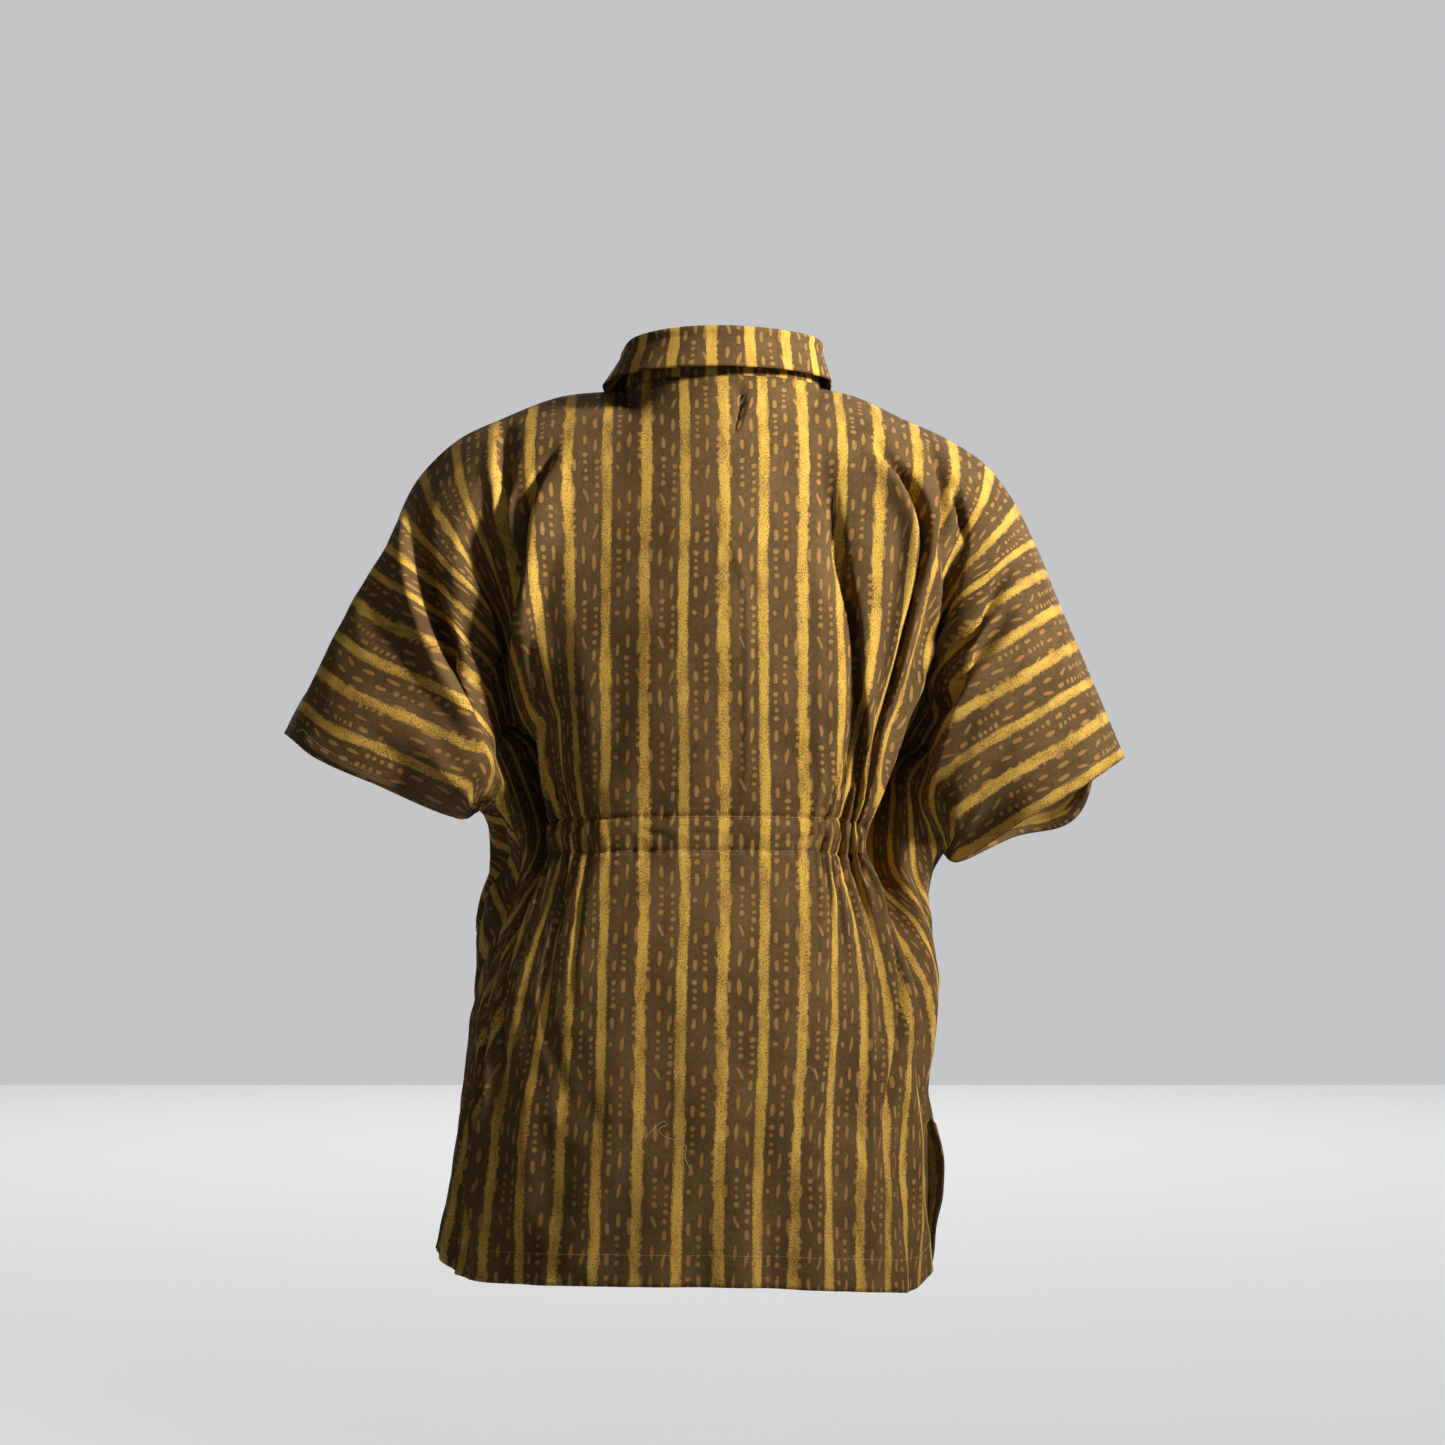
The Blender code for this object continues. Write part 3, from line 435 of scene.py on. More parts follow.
# Pleats drawn in by the waist channel, each fading out above and below it.
# share at the channel, half width, depth, level and share where it starts, level and share where it ends
WAIST_PLEATS = (
    (0.258, 0.010, -4, 340, 0.236, 446, 0.262), (0.286, 0.011, -7, 305, 0.258, 478, 0.300),
    (0.314, 0.011, -8, 290, 0.284, 500, 0.338), (0.342, 0.011, -9, 300, 0.312, 470, 0.372),
    (0.371, 0.012, -9, 310, 0.348, 520, 0.412), (0.402, 0.011, -9, 300, 0.376, 500, 0.444),
    (0.432, 0.012, -8, 306, 0.410, 470, 0.470), (0.200, 0.010, -2, 350, 0.190, 436, 0.206),
    (-0.262, 0.009, -3, 352, -0.254, 450, -0.258), (-0.312, 0.010, -4, 330, -0.298, 456, -0.312),
    (-0.362, 0.011, -5, 322, -0.340, 470, -0.372), (-0.410, 0.010, -5, 334, -0.388, 452, -0.428),
    (-0.458, 0.011, -6, 316, -0.430, 474, -0.484), (-0.508, 0.012, -5, 330, -0.480, 456, -0.540),
    (-0.560, 0.012, -5, 336, -0.534, 470, -0.600), (-0.612, 0.012, -4, 346, -0.590, 450, -0.650),
)

# Short creases across the waist channel and the skirt, from one end to the other.
# level, share, half height in millimetres, depth
CROSS_CREASES = (
    ((393, -0.145, 4, 0), (396, -0.120, 4, -1.6), (399, -0.085, 4, -1.8), (401, -0.055, 4, 0)),
    ((398, -0.040, 4, 0), (398, -0.010, 4, -1.4), (399, 0.025, 4, -1.4), (400, 0.050, 4, 0)),
    ((408, 0.140, 4, 0), (405, 0.170, 4, -2.0), (402, 0.210, 4, -2.4), (400, 0.240, 4, 0)),
    ((397, -0.370, 5, 0), (394, -0.345, 5, -2.5), (389, -0.300, 5, -2.5), (385, -0.265, 4, 0)),
    ((628, 0.060, 3, 0), (627, 0.150, 3, -0.7), (628, 0.300, 3, -0.7), (627, 0.440, 3, 0)),
    ((667, 0.200, 3, 0), (666, 0.350, 3, 0.7), (667, 0.600, 3, 0.7), (666, 0.840, 3, 0)),
    ((700, 0.100, 3, 0), (701, 0.250, 3, 0.5), (700, 0.450, 3, 0.5), (700, 0.620, 3, 0)),
    ((590, -0.520, 3, 0), (592, -0.350, 3, 0.5), (590, -0.150, 3, 0.5), (591, -0.020, 3, 0)),
)

# The collar round the neck, from the middle of the back to the front end of the leaf.
# turn in degrees, height of the fold above the neck seam, out to the leaf's edge, leaf's edge above the seam
COLLAR = (
    (-177, 22, 18, -22), (-140, 25, 19, -2), (-112, 26, 17, 4), (-92, 29, 15, 3), (-62, 40, 13, 4),
    (-40, 42, 12, 5), (0, 43, 11, 5.5), (40, 41.5, 12, 5.5), (72, 40.5, 13, 5), (90, 39, 15, 4),
    (110, 31, 17, 4), (140, 25, 19, -2), (177, 22, 18, -22),
)
COLLAR_END = 177.0
COLLAR_LIFT = 0.6
COLLAR_LEAN = 5.0
COLLAR_TURNS = 181
COLLAR_TUCK = 3.5
COLLAR_INSIDE = 0.6
# The stand and then the fold, by the share of the fold's height and how far out.
STAND = ((0.0, -0.8), (0.5, -2.2), (0.92, -2.6))
COLLAR_FOLD = ((0.985, -1.5), (1.0, 0.3))
LEAF_BULGE = 2.4
# Waves along the leaf's edge: height, how many round the neck, where they start.
LEAF_WAVES = ((0.7, 5, 0.6), (0.5, 9, 2.0), (0.4, 15, 0.0))
LEAF_MIDDLE_ROW = -8
COLLAR_PRINT_START = 0.9


def unit(vectors):
    return vectors / np.linalg.norm(vectors, axis=-1, keepdims=True)


def through(knots, values, at):
    """A smooth curve through values at the knots, read at other places along it."""
    knots = np.asarray(knots, float)
    values = np.asarray(values, float)
    at = np.asarray(at, float)
    steps = np.diff(knots)
    slopes = np.diff(values, axis=0) / steps.reshape((-1,) + (1,) * (values.ndim - 1))
    tangents = np.empty_like(values)
    tangents[0] = slopes[0]
    tangents[-1] = slopes[-1]
    before = (steps[1:] / (steps[1:] + steps[:-1])).reshape((-1,) + (1,) * (values.ndim - 1))
    tangents[1:-1] = slopes[:-1] * before + slopes[1:] * (1.0 - before)
    place = np.clip(np.searchsorted(knots, at, side="right") - 1, 0, len(steps) - 1)
    span = steps[place]
    t = (at - knots[place]) / span
    shape = t.shape + (1,) * (values.ndim - 1)
    t = t.reshape(shape)
    span = span.reshape(shape)
    return (values[place] * (2 * t**3 - 3 * t**2 + 1) + tangents[place] * span * (t**3 - 2 * t**2 + t)
            + values[place + 1] * (3 * t**2 - 2 * t**3) + tangents[place + 1] * span * (t**3 - t**2))


def top_edge(panel, shares):
    """The neckline, then the seam along the sleeve on each side of it."""
    points = np.empty((len(shares), 3))
    middle = NAPE if panel == "back" else THROAT
    for i, share in enumerate(shares):
        seam = OVERARM_RIGHT if share > 0 else OVERARM_LEFT
        end = NECK_RIGHT if share > 0 else NECK_LEFT
        if abs(share) >= NECK_SHARE:
            along = (abs(share) - NECK_SHARE) / (1 - NECK_SHARE) * seam[-1][0]
            points[i] = through([row[0] for row in seam], [row[1:] for row in seam], [along])[0]
        else:
            turn = abs(share) / NECK_SHARE * math.pi / 2
            drop = math.cos(turn) ** (BACK_SCOOP if panel == "back" else FRONT_SCOOP)
            points[i] = (
                middle[0] + (end[0] - middle[0]) * math.sin(turn),
                middle[1] * math.cos(turn),
                end[2] + (middle[2] - end[2]) * drop,
            )
    return points


def smooth_form(panel, shares, levels):
    """The cloth without its folds: one point for each level and share."""
    right, left = (BACK_RIGHT, BACK_LEFT) if panel == "back" else (FRONT_RIGHT, FRONT_LEFT)
    knots = [-share for share in SHARES[:0:-1]] + list(SHARES)
    rows = [top_edge(panel, shares)]
    for wide, narrow in zip(right, left):
        places = list(narrow[:0:-1]) + list(wide[1:])
        rows.append(through(knots, places, shares))
    heights = [0.0] + [row[0] for row in right]
    return through(heights, np.array(rows), levels)


def out_of_cloth(points, panel):
    """Which way is out at every point of a grid, from the four faces round it."""
    facing = unit(np.cross(points[1:, :-1] - points[:-1, 1:], points[1:, 1:] - points[:-1, :-1]))
    out = np.zeros_like(points)
    for rows in (slice(None, -1), slice(1, None)):
        for columns in (slice(None, -1), slice(1, None)):
            out[rows, columns] += facing
    return unit(out) if panel == "back" else -unit(out)


def hump(depth, across):
    """A rounded fold: its full depth where across is 0, and none where it is 1 or -1."""
    return depth * (1.0 + np.cos(math.pi * across)) / 2.0


def fold_depths(panel, shares, levels):
    """How far each point moves out for the folds that run over it."""
    total = np.zeros((len(levels), len(shares)))
    for fold in FOLDS[panel]:
        rows = np.array(fold, float)
        inside = (levels > rows[0, 1]) & (levels < rows[-1, 1])
        middle, half, depth = (through(rows[:, 1], rows[:, i], levels) for i in (0, 2, 3))
        depth = np.where(inside, depth, 0.0)
        across = np.clip((shares[None, :] - middle[:, None]) / half[:, None], -1.0, 1.0)
        total += hump(depth[:, None], across)
    return total


def draped(panel, shares, levels):
    """The cloth with its large folds alone."""
    points = smooth_form(panel, shares, levels)
    out = out_of_cloth(points, panel)
    return points + out * fold_depths(panel, shares, levels)[:, :, None]


COLUMNS_AT_NECK = 30
COLUMNS_TO_SLEEVE = 100
ROW_HEIGHT = 4.6
CHANNEL_ROW_HEIGHT = 2.0
CHANNEL_MARGIN = 10.0
BODY_HEM = 25.0
SLEEVE_HEM = 14.0
SLIT_HEM = 11.0


def share_list():
    """Shares of the half width, closest where the small folds are."""
    fine = np.linspace(NECK_SHARE, 1.0, 801)
    density = 0.85 + 1.6 * np.exp(-(((fine - 0.42) / 0.20) ** 2))
    total = np.concatenate([[0.0], np.cumsum((density[1:] + density[:-1]) / 2)])
    sleeve = np.interp(np.linspace(0.0, total[-1], COLUMNS_TO_SLEEVE + 1), total, fine)
    half = np.concatenate([np.linspace(0.0, NECK_SHARE, COLUMNS_AT_NECK + 1), sleeve[1:]])
    for edge in (1 - SLEEVE_HEM / HALF_SPAN, 1 - SLIT_HEM / half_width(SLIT_LEVEL)):
        half[np.argmin(abs(half - edge))] = edge
    return np.concatenate([-half[:0:-1], half])


def level_list():
    """Levels down the centre, with one on each mark and short steps at the waist channel."""
    marks = (0.0, NECK_SLIT_LEVEL, CORNER_LEVEL, CASING_TOP - CHANNEL_MARGIN, CASING_TOP, CASING_BOTTOM,
             CASING_BOTTOM + CHANNEL_MARGIN, SLIT_LEVEL, HEM_LEVEL - BODY_HEM, HEM_LEVEL)
    levels = [0.0]
    for upper, lower in zip(marks, marks[1:]):
        at_channel = CASING_TOP - CHANNEL_MARGIN <= upper < CASING_BOTTOM + CHANNEL_MARGIN
        steps = math.ceil((lower - upper) / (CHANNEL_ROW_HEIGHT if at_channel else ROW_HEIGHT))
        levels += [upper + (lower - upper) * (i + 1) / steps for i in range(steps)]
    return np.array(levels)


def half_width(level):
    """Half the width of the flat cloth, in millimetres."""
    return np.interp(level, [row[0] for row in HALF_WIDTHS], [row[1] for row in HALF_WIDTHS])


def one_fold(rows, shares, levels):
    """The depths of one fold that has its own half width on each side of its line."""
    rows = np.array(rows, float)
    inside = (levels > rows[0, 1]) & (levels < rows[-1, 1] + 0.001)
    middle, left, right, depth = (through(rows[:, 1], rows[:, i], levels) for i in (0, 2, 3, 4))
    depth = np.where(inside, depth, 0.0)
    offset = shares[None, :] - middle[:, None]
    across = np.where(offset < 0, offset / left[:, None], offset / right[:, None]).clip(-1.0, 1.0)
    return hump(depth[:, None], across)


def waist_pleats(shares, levels):
    """How far the cloth moves for the pleats that the waist channel draws in."""
    total = np.zeros((len(levels), len(shares)))
    for at, half, depth, top, top_share, bottom, bottom_share in WAIST_PLEATS:
        rows = ((top_share, top, half * 1.6, half * 1.6, 0),
                ((top_share + at) / 2, (top + CASING_TOP) / 2, half * 1.2, half * 1.2, depth * 0.5),
                (at, CASING_TOP, half, half, depth * 0.9),
                (at, (CASING_TOP + CASING_BOTTOM) / 2, half, half, depth * 0.8),
                (at, CASING_BOTTOM, half, half, depth),
                ((at + bottom_share) / 2, (CASING_BOTTOM + bottom) / 2, half * 1.3, half * 1.3, depth * 0.4),
                (bottom_share, bottom, half * 2.0, half * 2.0, 0))
        total += one_fold(rows, shares, levels)
    return total


def cross_creases(shares, levels):
    """How far the cloth moves for the short creases that run across it."""
    total = np.zeros((len(levels), len(shares)))
    for crease in CROSS_CREASES:
        rows = np.array(crease, float)
        inside = (shares > rows[0, 1]) & (shares < rows[-1, 1])
        middle, half, depth = (through(rows[:, 1], rows[:, i], shares) for i in (0, 2, 3))
        across = ((levels[:, None] - middle[None, :]) / half[None, :]).clip(-1.0, 1.0)
        total += hump(np.where(inside, depth, 0.0)[None, :], across)
    return total


CHANNEL_START = -0.66
CHANNEL_FADE = 0.03
CHANNEL_END_FADE = 0.02
GROOVE_DEPTH = 2.0
GROOVE_REACH = 2.2
PUFF_REACH = 8.0
# Fullness of the channel between its stitches: all along it, then the two places where it bulges most.
PUFF = 2.2
PUFFS = ((0.36, 2.4), (-0.40, 1.2))
PUFF_WIDTH = 0.09
CHANNEL_SEED = 11
TUCKS_START = -0.64
RIPPLE_SEEDS = {"back": 5, "front": 9}
RIPPLES_DOWN = 22
RIPPLES_EVERY_WAY = 14
WIDEST_RIPPLE = 80.0
# Where the right sleeve's end is held in at the front: level, reach, share it starts at, width, amount.
HELD_LEVEL, HELD_REACH, HELD_START, HELD_WIDTH, HELD_AMOUNT = 55, 30, 0.88, 0.12, 0.035
# How far the seam along the top of the sleeve falls on the flat cloth, for each millimetre across.
OVERARM_FALL = 0.14


def channel_relief(shares, levels):
    """The waist channel: pinched along its two rows of stitches, full between them, and tucked along them."""
    draw = np.random.default_rng(CHANNEL_SEED)
    inside = (np.clip((shares - CHANNEL_START) / CHANNEL_FADE, 0, 1)
              * np.clip((CASING_RIGHT + 0.01 - shares) / CHANNEL_END_FADE, 0, 1))
    relief = np.zeros((len(levels), len(shares)))
    for row in (CASING_TOP, CASING_BOTTOM):
        relief -= GROOVE_DEPTH * np.exp(-(((levels - row) / GROOVE_REACH) ** 2))[:, None] * inside[None, :]
    middle = (CASING_TOP + CASING_BOTTOM) / 2
    full = PUFF + sum(more * np.exp(-(((shares - at) / PUFF_WIDTH) ** 2)) for at, more in PUFFS)
    relief += np.exp(-(((levels - middle) / PUFF_REACH) ** 2))[:, None] * (inside * full)[None, :]
    for row in (CASING_TOP, CASING_BOTTOM):
        place = TUCKS_START
        while place < CASING_RIGHT:
            place += draw.uniform(0.013, 0.034)
            strong = 0.35 + 1.3 * min(1.0, abs(place - 0.02) / 0.45) ** 2
            depth = -draw.uniform(1.0, 3.0) * strong
            reach = draw.uniform(8.0, 20.0)
            lean = draw.uniform(-0.3, 0.3) * MM
            half = draw.uniform(0.005, 0.009)
            for side in (-1, 1):
                away = (levels - row) * side
                fade = np.where(away >= -0.5, np.exp(-((away.clip(0) / reach) ** 2)), 0.0)
                across = (shares[None, :] - place - lean * away[:, None]) / (half * (1 + away.clip(0) / 22))[:, None]
                relief += depth * fade[:, None] * np.exp(-(across ** 2))
    return relief


def ripples(shares, levels, seed):
    """Soft uneven waves that run down the cloth."""
    draw = np.random.default_rng(seed)
    across = shares[None, :] * half_width(levels)[:, None]
    down = levels[:, None] + 0 * across
    total = np.zeros_like(across)
    for _ in range(RIPPLES_DOWN):
        length = draw.uniform(22.0, WIDEST_RIPPLE)
        tall = draw.uniform(150.0, 500.0) * draw.choice((-1.0, 1.0))
        phase = draw.uniform(0, 2 * math.pi)
        total += np.sin(2 * math.pi * (across / length + down / tall) + phase) * length / WIDEST_RIPPLE
    for _ in range(RIPPLES_EVERY_WAY):
        length = draw.uniform(30.0, 90.0)
        turn = draw.uniform(0, 2 * math.pi)
        phase = draw.uniform(0, 2 * math.pi)
        total += 0.35 * np.sin(2 * math.pi * (across * math.cos(turn) + down * math.sin(turn)) / length + phase)
    return total


def ripple_amount(panel, shares, levels):
    """How far the soft waves stand out at each place, in millimetres."""
    down = np.interp(levels, (0, 60, 250, 340, 420, 520, 765), (0.0, 0.10, 0.20, 0.28, 0.32, 0.42, 0.62))
    side = np.interp(abs(shares), (0, 0.2, 0.5, 0.8, 1.0), (0.55, 0.8, 1.2, 1.2, 0.8))
    if panel == "front":
        down = down * 1.25
    return down[:, None] * side[None, :]


def drawn_in(points, shares, levels):
    """The front with its right sleeve's end held in a little below the overarm seam."""
    amount = HELD_AMOUNT * np.exp(-(((levels - HELD_LEVEL) / HELD_REACH) ** 2)) * (levels > 0)
    near = ((shares - HELD_START) / HELD_WIDTH).clip(0, 1) ** 1.5
    for row, held in zip(points, amount):
        places = shares - held * near
        row[:] = np.stack([np.interp(places, shares, row[:, i]) for i in range(3)], axis=-1)
    return points


def dressed(panel, shares, levels):
    """The cloth of one panel with its large folds, its small folds and its soft waves."""
    points = draped(panel, shares, levels)
    if panel == "front":
        points = drawn_in(points, shares, levels)
    out = out_of_cloth(points, panel)
    depth = sum(one_fold(rows, shares, levels) for rows in CREASES[panel].values())
    if panel == "back":
        depth += waist_pleats(shares, levels) + channel_relief(shares, levels) + cross_creases(shares, levels)
    depth += ripples(shares, levels, RIPPLE_SEEDS[panel]) * ripple_amount(panel, shares, levels)
    return points + out * depth[:, :, None]


def meet_at_seams(grids, arm, sewn, shared):
    """Give both panels' grids one line along each seam, worked out from the sum of their two."""
    for seam in ((0, arm), (sewn, 0), (sewn, -1)):
        line = shared(grids["back"][seam] + grids["front"][seam])
        for grid in grids.values():
            grid[seam] = line


def panel_grids(shares, levels):
    """Both panels' grids with one shared line where they are sewn, and which way is out of each."""
    grids = {name: dressed(name, shares, levels) for name in ("back", "front")}
    sewn = (levels >= CORNER_LEVEL) & (levels <= SLIT_LEVEL)
    arm = abs(shares) >= NECK_SHARE
    meet_at_seams(grids, arm, sewn, lambda total: total / 2)
    outs = {name: out_of_cloth(grid, name) for name, grid in grids.items()}
    meet_at_seams(outs, arm, sewn, unit)
    return grids, outs, arm, sewn


def drawn_back(grid, out, arm, sewn):
    """The grid with its sewn edges drawn back by half the seam gap."""
    moved = grid.copy()

    def shift(edge, inner, way, along):
        side = unit(np.cross(along, way))
        side *= np.sign(np.sum(side * (inner - edge), axis=-1, keepdims=True))
        return edge + side * SEAM_GAP / 2

    moved[0, arm] = shift(grid[0, arm], grid[1, arm], out[0, arm], np.gradient(grid[0], axis=0)[arm])
    for column, inner in ((0, 1), (-1, -2)):
        along = np.gradient(grid[:, column], axis=0)
        moved[sewn, column] = shift(grid[sewn, column], grid[sewn, inner], out[sewn, column], along[sewn])
    return moved


# The right sleeve's hem is turned up a little deeper, so its last stripe lies on the edge.
DEEPER_HEM = {"back right": 8.0}


def smooth_step(values, start, end):
    """From 0 at the start to 1 at the end, level at both."""
    part = ((values - start) / (end - start)).clip(0.0, 1.0)
    return part * part * (3 - 2 * part)


def from_sleeve_end(points, levels, column):
    """How far each point is from the sleeve's end, seen from behind."""
    flat = points[:, :, (0, 2)]
    end = flat[levels <= CORNER_LEVEL, column]
    down = unit(end[-1] - end[0])
    inward = np.array([down[1], -down[0]])
    inward *= np.sign(np.sum(inward * (flat[0, points.shape[1] // 2] - end[0])))
    place = (flat - end[0]) @ down
    edge = np.interp(place, (end - end[0]) @ down, (end - end[0]) @ inward)
    return (flat - end[0]) @ inward - edge


def flat_places(panel, shares, levels):
    """Where each place lies on the flat cloth, in metres across and down."""
    points = draped(panel, shares, levels)
    down = unit(np.gradient(points, levels, axis=0))
    step = np.gradient(points, axis=1)
    step -= down * np.sum(step * down, axis=-1, keepdims=True)
    width = np.linalg.norm(step, axis=-1)
    across = np.concatenate([0 * width[:, :1], np.cumsum((width[:, 1:] + width[:, :-1]) / 2, axis=1)], axis=1)
    across -= across[:, len(shares) // 2][:, None]
    from_middle = across.copy()
    on_body = smooth_step(levels, 0.96 * CORNER_LEVEL, 1.22 * CORNER_LEVEL)[:, None]
    below_neck = smooth_step(levels, 60.0, 170.0)[:, None]
    for side, name in ((-1, "left"), (1, "right")):
        rows = np.array(LAYOUT.get(f"{panel} {name}") or LAYOUT[panel], float)
        middle, gather, gathered, part, turn, turned = (through(rows[:, 0], rows[:, i], levels)[:, None]
                                                        for i in range(1, 7))
        half = slice(None, len(shares) // 2 + 1) if side < 0 else slice(len(shares) // 2, None)
        column = 0 if side < 0 else -1
        away = side * shares[half][None, :]
        laid = side * from_middle[:, half]
        length = laid[:, column][:, None]
        spare = half_width(levels)[:, None] - side * middle - length
        level_with_neck = side * (points[:, half, 0] - points[:, len(shares) // 2, 0][:, None])
        laid_in = level_with_neck + (laid - level_with_neck) * below_neck
        inner = laid_in + spare * part * smooth_step(away, gather, gathered) + side * middle
        to_end = from_sleeve_end(points, levels, column)[:, half] + DEEPER_HEM.get(f"{panel} {name}", 0.0)
        outer = (half_width(levels)[:, None] - length + laid) * on_body + (HALF_SPAN - to_end) * (1 - on_body)
        turning = smooth_step(away, turn, turned)
        across[:, half] = side * (inner * (1 - turning) + outer * turning)
    top = OVERARM_FALL * (abs(shares) * HALF_SPAN - NECK_HALF).clip(0)
    below = (levels / CORNER_LEVEL).clip(0, 1)
    along = np.where(levels[:, None] < CORNER_LEVEL,
                     top[None, :] * (1 - below[:, None]) + levels[:, None], levels[:, None])
    return np.stack([across, along], axis=-1) * MM


def deselect_all():
    bpy.ops.object.select_all(action="DESELECT")


def apply_modifier(piece, kind, **settings):
    deselect_all()
    piece.select_set(True)
    bpy.context.view_layer.objects.active = piece
    modifier = piece.modifiers.new(kind.lower(), kind)
    for name, value in settings.items():
        setattr(modifier, name, value)
    bpy.ops.object.modifier_apply(modifier=modifier.name)


def cloth_sheet(name, points, places, thickness, materials, outward=True, offset=-1.0):
    """A sheet of cloth: a grid laid on the given points, with its place on the flat cloth, made a wall."""
    rows, columns = points.shape[:2]
    deselect_all()
    bpy.ops.mesh.primitive_grid_add(x_subdivisions=columns - 1, y_subdivisions=rows - 1, size=1.0,
                                    location=(0, 0, 0))
    piece = bpy.context.object
    piece.name = name
    mesh = piece.data
    mesh.name = name
    count = len(mesh.vertices)
    flat = np.empty(count * 3)
    mesh.vertices.foreach_get("co", flat)
    flat = flat.reshape(-1, 3)
    column = np.rint((flat[:, 0] + 0.5) * (columns - 1)).astype(int)
    row = np.rint((0.5 - flat[:, 1]) * (rows - 1)).astype(int)
    mesh.vertices.foreach_set("co", (points[row, column] * MM).ravel())
    layer = mesh.uv_layers.active or mesh.uv_layers.new(name="flat cloth")
    layer.name = "flat cloth"
    corner = np.empty(len(mesh.loops), int)
    mesh.loops.foreach_get("vertex_index", corner)
    layer.data.foreach_set("uv", places[row[corner], column[corner]].ravel())
    mesh.update()
    if not outward:
        mesh.flip_normals()
    for material in materials:
        mesh.materials.append(material)
    if thickness:
        apply_modifier(piece, "SOLIDIFY", thickness=thickness, offset=offset, use_even_offset=False,
                       material_offset=1 if len(materials) > 1 else 0)
    deselect_all()
    piece.select_set(True)
    bpy.ops.object.shade_smooth()
    return piece


def open_neck_slit(piece_points, places, levels):
    """The front's points as two halves that stand apart above the foot of the neck slit."""
    middle = piece_points.shape[1] // 2
    apart = np.where(levels < NECK_SLIT_LEVEL, NECK_SLIT_OPENING / 2 * (1 - levels / NECK_SLIT_LEVEL), 0.0)
    halves = []
    for side, columns in ((-1, slice(None, middle + 1)), (1, slice(middle, None))):
        half = piece_points[:, columns].copy()
        edge = -1 if side < 0 else 0
        half[:, edge, 0] += side * apart
        halves.append((half, places[:, columns]))
    return halves


def on_cloth(grid, shares, levels, share, level):
    """The point of a grid at any share and level."""
    column = np.interp(share, shares, np.arange(len(shares)))
    row = np.interp(level, levels, np.arange(len(levels)))
    left = np.clip(np.floor(column).astype(int), 0, len(shares) - 2)
    above = np.clip(np.floor(row).astype(int), 0, len(levels) - 2)
    s = (column - left)[:, None]
    t = (row - above)[:, None]
    return ((grid[above, left] * (1 - s) + grid[above, left + 1] * s) * (1 - t)
            + (grid[above + 1, left] * (1 - s) + grid[above + 1, left + 1] * s) * t)


# How thick a stitch is at its ends, as a share of its middle.
STITCH_END = 0.55


def curve_along(name, path):
    """A curve through the points of a path."""
    line = bpy.data.curves.new(name, "CURVE")
    line.dimensions = "3D"
    spline = line.splines.new("POLY")
    spline.points.add(len(path) - 1)
    for point, place in zip(spline.points, path * MM):
        point.co = (*place, 1.0)
    piece = bpy.data.objects.new(name, line)
    bpy.context.scene.collection.objects.link(piece)
    return piece


def stitch_row(name, path, out, pitch, length, width, material, lift=0.15):
    """A row of stitches: one stitch, repeated along the path and bent to it."""
    path = path + out * lift
    steps = np.concatenate([[0.0], np.cumsum(np.linalg.norm(np.diff(path, axis=0), axis=1))])
    count = int(steps[-1] // pitch)
    guide = curve_along(name + " path", path)
    deselect_all()
    bpy.ops.mesh.primitive_cylinder_add(vertices=6, radius=width / 2, depth=length, location=(length / 2, 0, 0),
                                        rotation=(0, math.pi / 2, 0), end_fill_type="TRIFAN")
    stitch = bpy.context.object
    stitch.name = name
    bpy.ops.object.transform_apply(location=True, rotation=True, scale=True)
    for vertex in stitch.data.vertices:
        if abs(vertex.co.x - length / 2) > length * 0.49:
            vertex.co.y *= STITCH_END
            vertex.co.z *= STITCH_END
    stitch.data.materials.append(material)
    apply_modifier(stitch, "ARRAY", count=count, use_relative_offset=False, use_constant_offset=True,
                   constant_offset_displace=(pitch * MM, 0, 0))
    apply_modifier(stitch, "CURVE", object=guide, deform_axis="POS_X")
    bpy.data.objects.remove(guide, do_unlink=True)
    deselect_all()
    stitch.select_set(True)
    bpy.ops.object.shade_smooth()
    return stitch


def join_pieces(name, pieces):
    deselect_all()
    for piece in pieces:
        piece.select_set(True)
    bpy.context.view_layer.objects.active = pieces[0]
    bpy.ops.object.join()
    pieces[0].name = name
    return pieces[0]


# Materials

GROUND = (0.078, 0.0455, 0.0162)
GROUND_WORN = (0.126, 0.0755, 0.0282)
STRIPE = (0.560, 0.340, 0.058)
STRIPE_DEEP = (0.430, 0.235, 0.035)
MARK = (0.250, 0.130, 0.034)
MARK_PALE = (0.310, 0.165, 0.046)
RING = (0.045, 0.026, 0.011)
THREAD = (0.600, 0.480, 0.280)


def add_node(tree, kind, **settings):
    node = tree.nodes.new(kind)
    for name, value in settings.items():
        setattr(node, name, value)
    return node


def put(tree, value, socket):
    if isinstance(value, bpy.types.NodeSocket):
        tree.links.new(value, socket)
    else:
        socket.default_value = value


def maths(tree, operation, *values):
    node = add_node(tree, "ShaderNodeMath", operation=operation)
    for value, socket in zip(values, node.inputs):
        put(tree, value, socket)
    return node.outputs[0]


def fade(tree, value, start, end, low=0.0, high=1.0):
    node = add_node(tree, "ShaderNodeMapRange", interpolation_type="SMOOTHSTEP")
    for given, label in ((value, "Value"), (start, "From Min"), (end, "From Max"), (low, "To Min"), (high, "To Max")):
        put(tree, given, node.inputs[label])
    return node.outputs[0]


def place_of(tree, across, along, deep=0.0):
    node = add_node(tree, "ShaderNodeCombineXYZ")
    for value, socket in zip((across, along, deep), node.inputs):
        put(tree, value, socket)
    return node.outputs[0]


